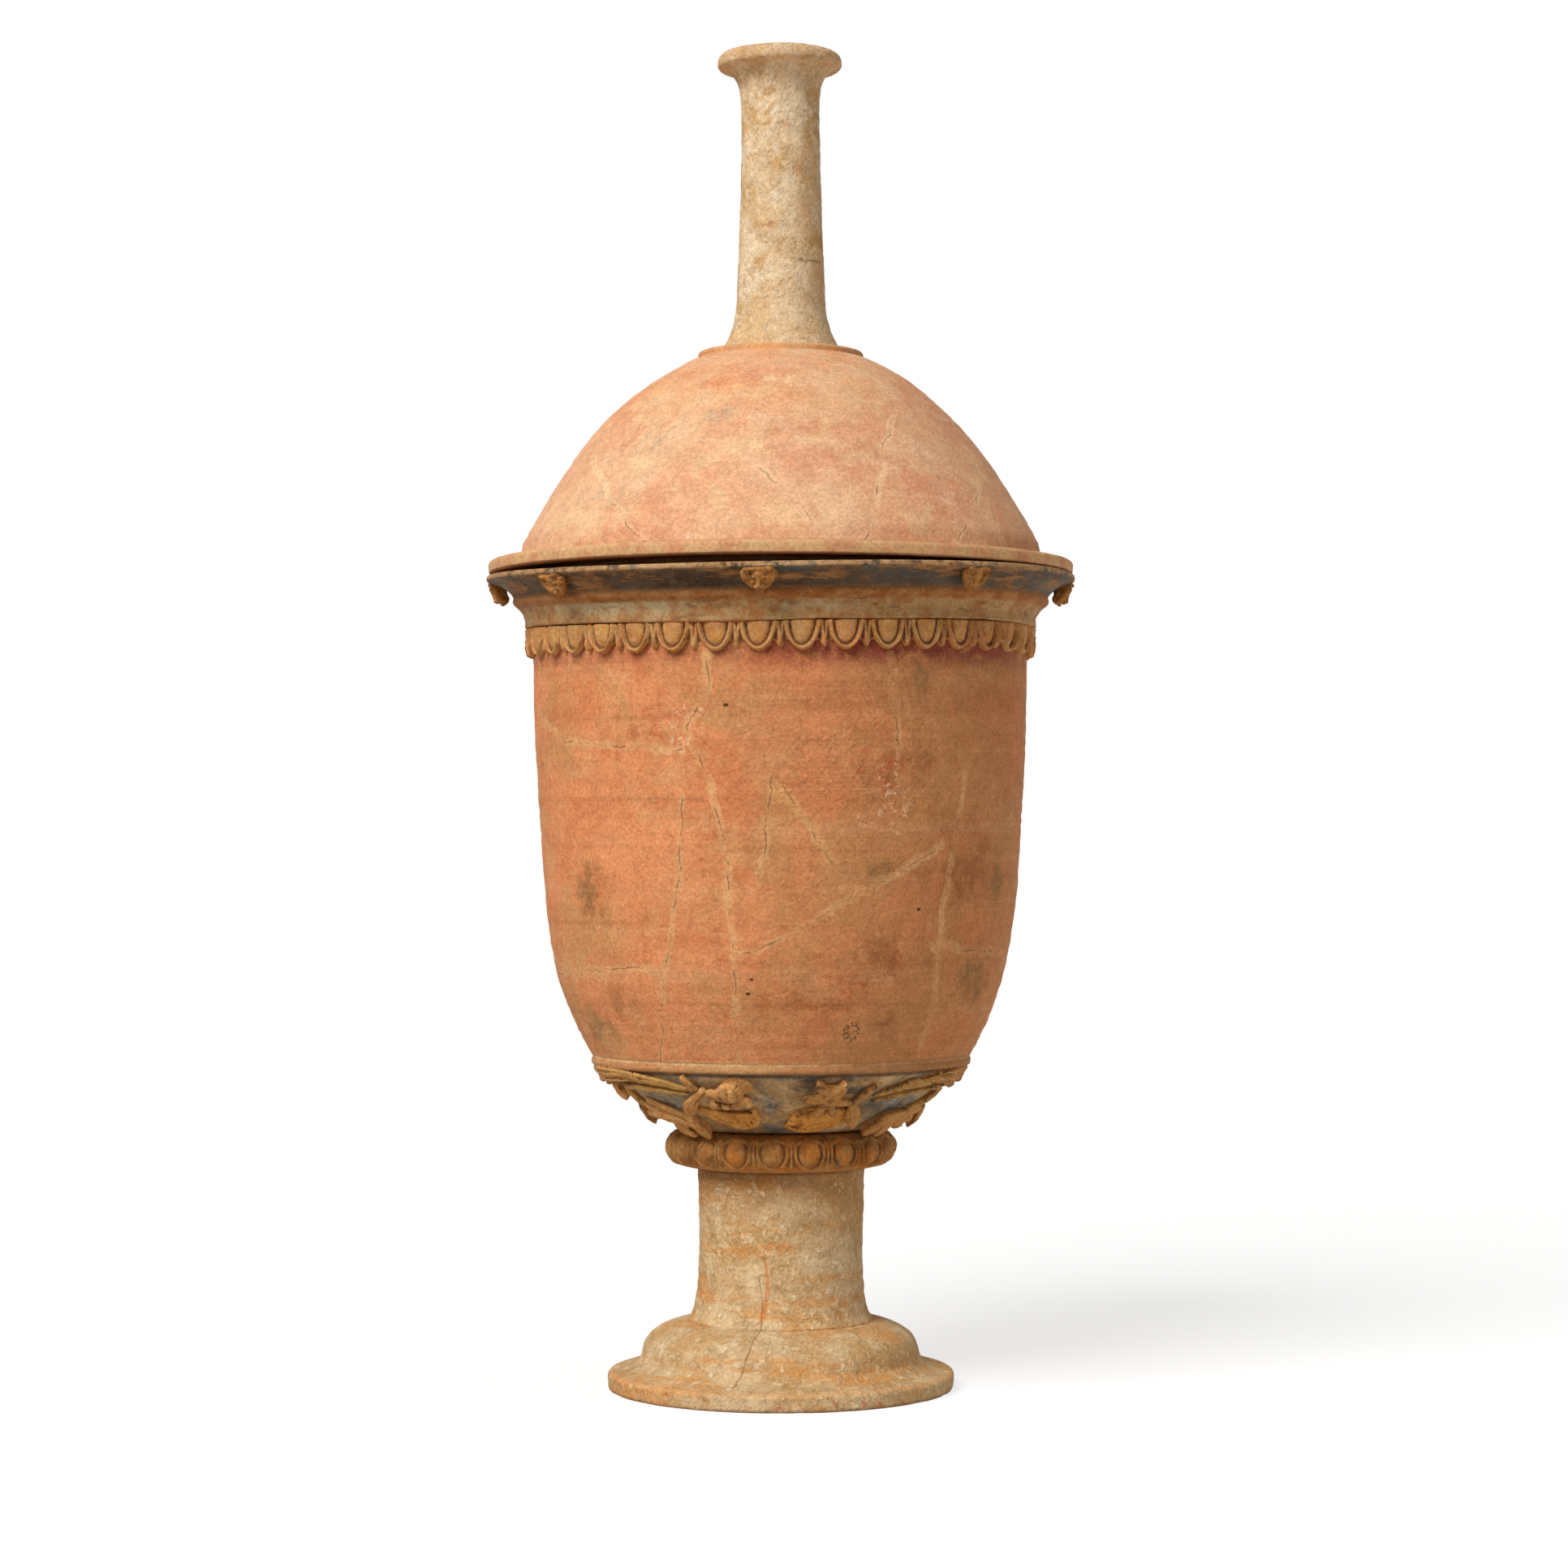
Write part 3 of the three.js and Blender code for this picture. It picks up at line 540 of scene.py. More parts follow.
def make_stretch_group():
    """Distance in millimetres from a point of the wall to a straight stretch between two points."""
    names = ("Azimuth", "Height", "Reach", "StartTurn", "StartLevel", "EndTurn", "EndLevel")
    tree, given, result, calc = new_group("stretch", names)

    def across(one, two):
        return calc("MULTIPLY", calc("SUBTRACT", given[one], given[two]), given["Reach"])

    def dot(x0, z0, x1, z1):
        return calc("ADD", calc("MULTIPLY", x0, x1), calc("MULTIPLY", z0, z1))

    px, pz = across("Azimuth", "StartTurn"), calc("SUBTRACT", given["Height"], given["StartLevel"])
    dx, dz = across("EndTurn", "StartTurn"), calc("SUBTRACT", given["EndLevel"], given["StartLevel"])
    share = calc("DIVIDE", dot(px, pz, dx, dz), dot(dx, dz, dx, dz), clamp=True)
    ox = calc("SUBTRACT", px, calc("MULTIPLY", dx, share))
    oz = calc("SUBTRACT", pz, calc("MULTIPLY", dz, share))
    tree.links.new(calc("SQRT", dot(ox, oz, ox, oz)), result)
    return tree


SPOT = make_spot_group()
STRETCH = make_stretch_group()


# Finishes. Each piece's finish follows the one clay: a base, what was painted on it, and what time did.
def sagged_height(finish):
    """The height that a point of the wall had before it sagged, for paint that follows the mouldings."""
    turn = finish.math("SUBTRACT", finish.azimuth, DIP_AZIMUTH)
    wave = finish.math("COSINE", finish.math("MULTIPLY", turn, 2 * math.pi / 180))
    share = finish.scaled(wave, 0.5 * DIP_DEPTH, 0.5 * DIP_DEPTH)
    rise = finish.soft(finish.height, SAG_START, RIM_TOP)
    return finish.scaled(share, rise, finish.height)


def joins(finish, colour, lines, reach, filler, crack, width=3.0):
    """Mended breaks: a band of pale filler along each line with a fine dark crack in parts of it."""
    distance = finish.lines(lines, reach)
    patchy = finish.patches(0.42, 0.58, 22, 7, 0.72, seed=5)
    broken = finish.patches(0.5, 0.58, 15, 4, 0.65, seed=6)
    band = finish.both(finish.soft(distance, width, width * 0.45), finish.scaled(patchy, 0.6, 0.1))
    cut = finish.both(finish.soft(distance, 0.45, 0.05), broken)
    colour = finish.mix(band, colour, filler)
    return finish.mix(finish.both(cut, 0.4), colour, crack), cut


def clay_bump(finish, pits, coarse=0.5, streaks=0.12):
    """The skin of trimmed clay: soft unevenness, level trimming streaks, sand grain and small pits."""
    normal = finish.bump(finish.grain(16, 6, 0.62), coarse)
    normal = finish.bump(finish.grain(3.5, 4, 0.65, stretch=(0.22, 3.2)), streaks, normal)
    normal = finish.bump(finish.grain(2.0, 6, 0.76), 0.24, normal)
    hollow = finish.soft(finish.cells(3.4), 0.14, 0.32)
    return finish.bump(hollow, pits * 0.3, normal)


BODY_JOINS = (
    ((-16, 374), (-16, 355), (-21, 335), (-17, 317), (-15, 306), (-13, 278)),
    ((-22, 302), (-25, 248), (-30, 210), (-37, 172)),
    ((-12, 272), (-11, 211), (-12, 172)),
    ((-2, 311), (-5, 260)),
    ((0, 309), (11, 272), (15, 262)),
    ((25, 371), (27, 323)),
    ((47, 320), (41, 244), (44, 172)),
    ((-11, 225), (0, 233), (18, 256), (40, 280)),
    ((-73, 342), (-57, 331), (-22, 325)),
    ((39, 230), (82, 222)),
    ((-79, 214), (-29, 219)),
    ((118, 380), (110, 300), (124, 240), (116, 172)),
    ((168, 372), (160, 290), (172, 210), (165, 172)),
    ((-150, 374), (-140, 300), (-152, 172)),
    ((110, 300), (160, 290), (178, 280)),
    ((-178, 280), (-140, 262)),
)


def paint_bowl():
    finish = Finish("bowl_clay")
    level = sagged_height(finish)
    soft, mix, both, patches, coat = finish.soft, finish.mix, finish.both, finish.patches, finish.coat

    # Body: salmon clay, tan where it is rubbed, browned by smoke in patches, and darkened on the right side
    # and low down with painted shade in tan and brown
    shaded_right_side = soft(finish.degrees_from(72.0), 100.0, 35.0)
    low_down = soft(level, 305, 205)
    # tan and salmon blotches, leaning to tan on the shaded right and low down as painted shade
    cloud = finish.scaled(shaded_right_side, 0.1, finish.grain(62, 9, 0.66, 0.4))
    cloud = finish.scaled(low_down, 0.05, cloud)
    colour = mix(soft(cloud, 0.47, 0.63), tone(224, 148, 100), tone(208, 150, 99))
    brick = patches(0.46, 0.64, 36, 9, 0.68, 0.5, seed=1)
    brick = both(brick, finish.scaled(shaded_right_side, -0.35, 0.6))
    colour = mix(brick, colour, tone(210, 124, 78))
    tan = patches(0.5, 0.64, 25, 9, 0.7, seed=2, stretch=(0.7, 1.3))
    colour = coat(colour, tan, 0.45, 220, 168, 118)
    # painted shade: the right side, away from the key lamp, darkened to brown
    colour = coat(colour, shaded_right_side, 0.3, 158, 92, 50)
    brown = finish.spots(
        (50, 265, 20, 48, 0.45, 0.9), (60, 215, 16, 34, 0.45, 0.9), (24, 226, 20, 22, 0.45, 0.9),
        (27, 318, 16, 22, 0.4, 0.8), (29, 190, 9, 14, 0.45, 0.8), (-50, 250, 8, 32, 0.5, 0.9),
        (-46, 206, 8, 14, 0.45, 0.8), (6, 205, 20, 18, 0.5, 0.9), (130, 290, 30, 60, 0.45, 0.9),
        (-130, 230, 26, 55, 0.45, 0.9),
    )
    brown = both(brown, patches(0.4, 0.58, 15, 9, 0.72, seed=33))
    colour = coat(colour, brown, 0.68, 150, 94, 54)
    olive = finish.spots(
        (33, 359, 5, 15, 0.3, 0.9), (-52, 256, 7, 14, 0.45, 0.8), (22, 266, 15, 12, 0.4, 0.8),
        (62, 262, 5, 22, 0.4, 0.8), (58, 210, 12, 20, 0.4, 0.8), (-58, 190, 12, 14, 0.4, 0.9),
        (170, 250, 10, 22, 0.45, 0.8),
    )
    olive = both(olive, patches(0.34, 0.52, 8, 8, 0.75, seed=36))
    colour = coat(colour, olive, 0.6, 124, 102, 64)
    red = finish.spots(
        (22, 320, 13, 18, 0.5, 0.7), (-30, 340, 10, 18, 0.5, 0.8), (15, 208, 7, 8, 0.5, 0.7),
        (-95, 300, 14, 26, 0.5, 0.8),
    )
    red = both(red, patches(0.48, 0.57, 6, 8, 0.72, seed=4))
    colour = coat(colour, red, 0.65, 188, 88, 56)
    lines = finish.grain(30, 9, 0.72, seed=7, stretch=(0.1, 3.6))
    colour = coat(colour, soft(lines, 0.52, 0.64), 0.3, 170, 104, 64)
    colour = coat(colour, soft(lines, 0.47, 0.36), 0.22, 230, 176, 130)
    mottle = finish.grain(4.2, 8, 0.78, seed=9)
    colour = coat(colour, soft(mottle, 0.55, 0.7), 0.36, 236, 180, 140)
    colour = coat(colour, soft(mottle, 0.46, 0.33), 0.4, 156, 86, 52)

    # Purple-red wash left under the egg band, strongest on the right
    wash = both(soft(level, BODY_TOP - 11.3, BODY_TOP + 0.7), patches(0.34, 0.54, 9, 8, 0.72, seed=11))
    side = soft(finish.degrees_from(32.0), 55.0, 18.0)
    colour = coat(colour, wash, finish.scaled(side, 0.5, 0.4), 138, 64, 54)

    # Ring-shaped stain, flakes and the joins
    mark = finish.spots((19, 188, 3.1, 7, 0.05, 0.35))
    core = finish.spots((19, 188, 1.7, 3.8, 0.05, 0.6))
    dotted = both(mark, soft(finish.cells(1.3, 3), 0.62, 0.36))
    colour = coat(colour, dotted, finish.scaled(core, -0.5, 0.8), 70, 52, 38)
    flakes = finish.spots(
        (-22, 334, 6, 15, 0.6, 0.5), (26, 302, 4, 24, 0.7, 0.5), (21, 292, 8, 9, 0.7, 0.5),
        (-15, 219, 2.4, 2, 0.5, 0.4),
    )
    flakes = both(flakes, patches(0.53, 0.6, 3.0, 6, 0.75, seed=13))
    colour = coat(colour, flakes, 0.7, 246, 200, 164)
    colour, cracks = joins(finish, colour, BODY_JOINS, BODY_RADIUS, tone(222, 172, 120), tone(116, 68, 44))
    drip = both(soft(finish.lines((((-1, 306), (8, 286), (11, 274)),), BODY_RADIUS), 5.0, 1.0), 0.42)
    colour = mix(drip, colour, tone(212, 162, 102))
    holes = finish.spots(
        (-12, 347, 0.8, 1.0, 0, 0.3), (-8, 207, 0.7, 0.9, 0, 0.3), (-7, 214, 0.6, 0.8, 0, 0.3),
        (34, 248, 0.7, 1.0, 0, 0.3),
    )
    colour = coat(colour, holes, 0.85, 52, 34, 26)

    # Ledge: rubbed ochre, darker on the right with painted shade, a painted highlight along its edge and
    # painted shade just below it
    ledge = both(
        soft(level, CONE_TOP - 0.7, CONE_TOP + 0.9), soft(level, BODY_BASE + 2.7, BODY_BASE + 0.5),
    )
    rubbed = mix(patches(0.46, 0.58, 26, 8, 0.7, seed=14), tone(200, 154, 104), tone(198, 140, 92))
    # painted shade: the ledge darkened on the right side, away from the key lamp
    rubbed = coat(rubbed, shaded_right_side, 0.5, 160, 108, 68)
    colour = mix(both(ledge, 0.95), colour, rubbed)
    # painted highlight: a thin pale line along the ledge's edge, weaker on the shaded right
    ledge_highlight = both(
        soft(level, BODY_BASE - 0.7, BODY_BASE - 0.3), soft(level, BODY_BASE + 0.6, BODY_BASE + 0.2),
        soft(finish.ragged, 0.36, 0.52),
    )
    colour = coat(colour, ledge_highlight, finish.scaled(shaded_right_side, -0.55, 0.75), 244, 212, 166)
    # painted shade: a dark line just under the ledge
    under_ledge_shade = both(
        soft(level, CONE_TOP - 2.1, CONE_TOP - 0.7), soft(level, CONE_TOP + 1.1, CONE_TOP + 0.1),
        soft(finish.ragged, 0.3, 0.5),
    )

    # Cone underneath: blue-grey paint over cream, tan in the middle, black slate paint with painted shade
    # round the reliefs, and painted shade low down by the ring
    ground = mix(patches(0.42, 0.58, 17, 8, 0.7, seed=15), tone(208, 178, 134), tone(178, 142, 98))
    blue = mix(patches(0.42, 0.6, 9, 8, 0.7, seed=16), tone(156, 154, 142), tone(104, 114, 118))
    kept = finish.spots(
        (50, 150, 28, 26, 0.25, 0.7), (-48, 152, 26, 24, 0.25, 0.7), (0, 136, 12, 8, 0.3, 0.6),
        (0, 167, 70, 5, 0.3, 0.7), (-4, 152, 7, 12, 0.3, 0.8), (135, 150, 36, 26, 0.25, 0.7),
        (-135, 150, 36, 26, 0.25, 0.7),
    )
    under = mix(both(kept, patches(0.36, 0.54, 7, 8, 0.75, seed=17)), ground, blue)
    # slate paint and painted shade: dark round the reliefs and under the ledge
    slate_and_shade = finish.spots(
        (14, 160, 17, 11, 0.3, 0.8), (52, 144, 18, 13, 0.3, 0.8), (28, 158, 12, 6, 0.35, 0.8),
        (-27, 160, 13, 6, 0.3, 0.8), (-52, 147, 13, 8, 0.3, 0.8), (-12, 161, 10, 6, 0.35, 0.8),
        (70, 162, 20, 5, 0.3, 0.8), (-55, 165, 22, 4, 0.3, 0.8), (163, 158, 12, 9, 0.3, 0.8),
        (-157, 158, 12, 9, 0.3, 0.8),
    )
    slate_and_shade = both(slate_and_shade, patches(0.24, 0.46, 8, 8, 0.72, seed=34))
    under = coat(under, slate_and_shade, 0.85, 50, 52, 54)
    # painted shade: darker low on the cone, above the ring and under the reliefs
    low_cone_shade = finish.spots(
        (0, 135, 66, 7, 0.35, 0.8), (36, 146, 14, 12, 0.4, 0.8), (-12, 136, 16, 6, 0.4, 0.8),
        (180, 138, 60, 8, 0.35, 0.8),
    )
    under = coat(under, low_cone_shade, 0.45, 78, 58, 42)
    crumbs = patches(0.55, 0.62, 3.6, 6, 0.75, seed=18)
    under = coat(under, crumbs, 0.6, 92, 66, 42)
    colour = mix(soft(level, CONE_TOP + 0.7, CONE_TOP - 0.7), colour, under)
    # painted shade just under the ledge
    colour = coat(colour, under_ledge_shade, 0.75, 66, 54, 44)

    # Cornice: lower cove, orange ridge, dark upper cove with teal, worn lip
    cove = mix(patches(0.42, 0.58, 11, 8, 0.72, seed=19), tone(188, 152, 106), tone(174, 118, 72))
    pale_cove = finish.spots(
        (-38, 396, 26, 8, 0.4, 0.7), (8, 395, 16, 5, 0.4, 0.7), (-150, 396, 40, 8, 0.4, 0.7),
    )
    cove = coat(cove, pale_cove, 0.7, 202, 186, 148)
    soot = patches(0.54, 0.6, 8, 9, 0.76, seed=20, stretch=(0.3, 1.2))
    # soot in patches, with more of it on the shaded right side as painted shade
    sooty = finish.spots(
        (-1, 400, 11, 5, 0.3, 0.8), (23, 397, 14, 5, 0.3, 0.8), (-62, 398, 16, 10, 0.4, 0.8),
        both(shaded_right_side, 0.2), (170, 398, 40, 10, 0.4, 0.8),
    )
    cove = coat(cove, soot, finish.scaled(sooty, 0.6, 0.3), 54, 46, 38)
    ridge = mix(patches(0.42, 0.58, 13, 8, 0.7, seed=21), tone(158, 98, 50), tone(180, 128, 80))
    paint = patches(0.42, 0.52, 9, 10, 0.8, seed=22, stretch=(0.25, 1.5))
    paint = both(paint, soft(level, FLARE_BASE - 1.6, FLARE_BASE + 1.6))
    slates = mix(patches(0.44, 0.58, 22, 8, 0.7, seed=23), tone(68, 55, 44), tone(98, 88, 76))
    slates = coat(slates, shaded_right_side, 0.5, 82, 84, 82)
    teal = finish.spots(
        (1, 412, 9, 3.4, 0.3, 0.7), (24, 412, 14, 3.4, 0.3, 0.7), (-100, 413, 20, 3, 0.2, 0.6),
        (150, 413, 16, 3, 0.2, 0.6),
    )
    slates = coat(slates, teal, 0.65, 56, 92, 94)
    pale_flare = finish.spots(
        (-80, 411, 26, 7, 0.35, 0.8), (-25, 413, 6, 4, 0.4, 0.7), (8, 414, 5, 3, 0.4, 0.7),
        (76, 411, 16, 5, 0.4, 0.8),
    )
    slates = coat(slates, pale_flare, 0.6, 158, 146, 124)
    upper = mix(both(paint, 0.92), tone(168, 122, 80), slates)
    cornice = mix(soft(level, RIDGE_BASE - 1.3, RIDGE_BASE + 0.6), cove, ridge)
    cornice = mix(soft(level, FLARE_BASE - 2.2, FLARE_BASE - 0.4), cornice, upper)
    worn = both(soft(level, LIP_BASE - 0.3, LIP_BASE + 1.5), patches(0.4, 0.52, 6, 7, 0.75, seed=24))
    cornice = coat(cornice, worn, 0.85, 206, 162, 114)
    on_cornice = soft(level, CORNICE_BASE - 0.8, CORNICE_BASE + 0.2)
    colour = mix(on_cornice, colour, cornice)

    normal = clay_bump(finish, pits=0.45)
    gritty = finish.spots((-4, 325, 20, 40, 0.4, 0.9), (20, 318, 20, 30, 0.4, 0.9), ledge)
    normal = finish.bump(both(finish.grain(3.0, 6, 0.75, seed=35), gritty), 0.75, normal)
    comb = finish.grain(2.6, 2, 0.5, seed=26, stretch=(0.05, 1.6))
    combed = finish.spots((22, 266, 17, 13, 0.3, 0.6), (14, 315, 20, 40, 0.4, 0.8))
    normal = finish.bump(both(comb, combed), 0.6, normal)
    flaky = both(on_cornice, paint)
    normal = finish.bump(flaky, 0.18, normal)
    normal = finish.bump(finish.math("SUBTRACT", 1.0, finish.either(cracks, holes)), 0.4, normal)
    return finish.done(colour, finish.uneven(12, 0.22, 0.6), normal)


def radius_of(finish):
    """Distance from the upright axis in millimetres."""
    level = finish.add("VectorMath", [finish.place, (1 / MM, 1 / MM, 0.0)], operation="MULTIPLY").outputs[0]
    return finish.add("VectorMath", [level], operation="LENGTH").outputs["Value"]


def paint_inside():
    """Bare clay of the inner faces, with the turning marks that nobody smoothed away."""
    finish = Finish("bare_clay")
    soft, mix, patches, coat = finish.soft, finish.mix, finish.patches, finish.coat
    colour = mix(patches(0.4, 0.62, 32, 5, 0.62), tone(188, 126, 88), tone(168, 110, 76))
    dust = patches(0.5, 0.66, 14, 6, 0.68, seed=1)
    colour = coat(colour, dust, 0.5, 204, 166, 126)
    marks = finish.grain(9, 3, 0.55, seed=2, stretch=(0.06, 1.0))
    colour = coat(colour, soft(marks, 0.5, 0.3), 0.35, 128, 82, 56)
    normal = finish.bump(marks, 1.2)
    normal = finish.bump(finish.grain(1.6, 3, 0.7), 0.2, normal)
    return finish.done(colour, 0.85, normal)


LID_JOINS = (
    ((42, 507), (28, 476), (22, 448), (17, 424)),
    ((59, 463), (39, 427)),
    ((-62, 479), (-47, 457), (-28, 425)),
    ((-59, 461), (-53, 433)),
    ((20, 525), (49, 511)),
    ((-9, 469), (3, 448), (8, 429)),
    ((130, 510), (140, 470), (128, 425)),
    ((-140, 500), (-152, 425)),
)


def paint_lid():
    finish = Finish("lid_clay")
    soft, mix, both, patches, coat = finish.soft, finish.mix, finish.both, finish.patches, finish.coat
    colour = mix(patches(0.42, 0.6, 80, 5, 0.6), tone(236, 192, 152), tone(232, 178, 138))
    pink = patches(0.48, 0.6, 46, 9, 0.7, 0.5, seed=1)
    colour = coat(colour, pink, 0.55, 224, 150, 112)
    cream = patches(0.52, 0.6, 30, 9, 0.72, seed=2)
    colour = coat(colour, cream, 0.6, 240, 202, 154)
    orange = both(soft(finish.height, 470, 528), patches(0.4, 0.62, 28, 5, 0.6, seed=3))
    colour = coat(colour, orange, 0.5, 232, 152, 88)
    grey = finish.spots(
        (-40, 478, 16, 12, 0.5, 0.8), (-18, 492, 10, 10, 0.5, 0.8), (-44, 452, 12, 10, 0.5, 0.8),
        (150, 470, 24, 16, 0.5, 0.8),
    )
    grey = both(grey, patches(0.42, 0.6, 7, 5, 0.7, seed=4))
    colour = coat(colour, grey, 0.6, 196, 170, 140)
    blush = finish.spots(
        (8, 468, 14, 22, 0.4, 0.9), (36, 455, 18, 26, 0.4, 0.9), (-26, 508, 8, 4, 0.5, 0.6),
        (-120, 460, 30, 24, 0.4, 0.9),
    )
    colour = coat(colour, blush, 0.4, 214, 120, 92)
    streaks = patches(0.5, 0.68, 24, 4, 0.6, seed=7, stretch=(0.22, 2.6))
    colour = coat(colour, streaks, 0.16, 206, 140, 100)
    scratched = finish.grain(9, 9, 0.78, seed=9, stretch=(0.5, 2.0))
    colour = coat(colour, soft(scratched, 0.56, 0.64), 0.4, 248, 214, 180)
    colour = coat(colour, soft(scratched, 0.44, 0.34), 0.25, 196, 124, 84)
    colour, cracks = joins(finish, colour, LID_JOINS, 110.0, tone(246, 206, 162), tone(140, 88, 58), 2.4)

    flange = soft(finish.height, LID_DOME_BASE + 2.3, LID_DOME_BASE + 0.4)
    handled = mix(patches(0.42, 0.62, 14, 5, 0.65, seed=14), tone(214, 172, 122), tone(208, 146, 104))
    colour = mix(both(flange, 0.85), colour, handled)
    # painted shade: darker in the crease where the flange meets the dome's rolled edge
    crease = both(
        soft(finish.height, LID_DOME_BASE + 2.4, LID_DOME_BASE + 1.0),
        soft(finish.height, LID_DOME_BASE - 0.2, LID_DOME_BASE + 0.6),
    )
    colour = coat(colour, crease, 0.35, 168, 110, 72)
    collar = soft(finish.height, LID_TOP - 4.5, LID_TOP - 3.1)
    colour = coat(colour, collar, 0.6, 214, 158, 104)
    # painted shade: the lid's lowest edge and spigot darkened, in the gap over the bowl's rim
    below = soft(finish.height, LID_BASE + 1.0, LID_BASE + 0.3)
    colour = coat(colour, below, 0.7, 128, 88, 60)

    normal = clay_bump(finish, pits=0.25, coarse=0.4, streaks=0.14)
    normal = finish.bump(finish.math("SUBTRACT", 1.0, cracks), 0.35, normal)
    return finish.done(colour, finish.uneven(12, 0.22, 0.58), normal)


def paint_finial():
    finish = Finish("finial_slip")
    soft, mix, both, patches, coat = finish.soft, finish.mix, finish.both, finish.patches, finish.coat
    colour = mix(patches(0.4, 0.6, 34, 8, 0.7), tone(242, 220, 186), tone(224, 190, 144))
    ochre = patches(0.5, 0.6, 19, 9, 0.74, 0.4, seed=1)
    colour = coat(colour, ochre, 0.65, 204, 156, 90)
    stains = finish.spots(
        (30, 628, 34, 9, 0.5, 0.8), (40, 606, 26, 12, 0.5, 0.8), (-20, 598, 60, 5, 0.5, 0.8),
        (10, 650, 50, 6, 0.5, 0.8), (120, 630, 60, 12, 0.5, 0.8), (-130, 610, 60, 12, 0.5, 0.8),
    )
    stains = both(stains, soft(finish.ragged, 0.36, 0.6))
    colour = coat(colour, stains, 0.7, 196, 130, 72)
    white = patches(0.54, 0.66, 6, 5, 0.72, seed=2)
    colour = coat(colour, white, 0.6, 250, 234, 208)
    dark = patches(0.6, 0.7, 7, 5, 0.72, seed=3)
    colour = coat(colour, dark, 0.4, 158, 122, 78)
    ring = both(finish.spots((46, 580, 42, 1.6, 0.35, 0.8)), patches(0.36, 0.5, 5, 3, 0.6))
    colour = coat(colour, ring, 0.75, 112, 98, 84)
    away = finish.math("ABSOLUTE", finish.math("SUBTRACT", finish.height, 590.0))
    line = both(soft(away, 3.0, 0.6), 0.3)
    colour = coat(colour, line, soft(finish.ragged, 0.4, 0.55), 190, 140, 86)
    disc = soft(finish.height, FINIAL_DISC_BASE - 4.6, FINIAL_DISC_BASE + 1.4)
    colour = coat(colour, disc, 0.45, 220, 176, 132)
    # painted shade: darker the deeper it goes into the bore
    bore = soft(radius_of(finish), 19.6, 17.0)
    depth = soft(finish.height, FINIAL_TOP - 4.1, FINIAL_TOP - 14.1)
    colour = coat(colour, bore, depth, 150, 104, 70)
    normal = clay_bump(finish, pits=0.5, coarse=0.5, streaks=0.1)
    crust = patches(0.46, 0.62, 5, 5, 0.7, seed=2)
    normal = finish.bump(crust, 0.3, normal)
    return finish.done(colour, finish.uneven(9, 0.2, 0.66), normal)


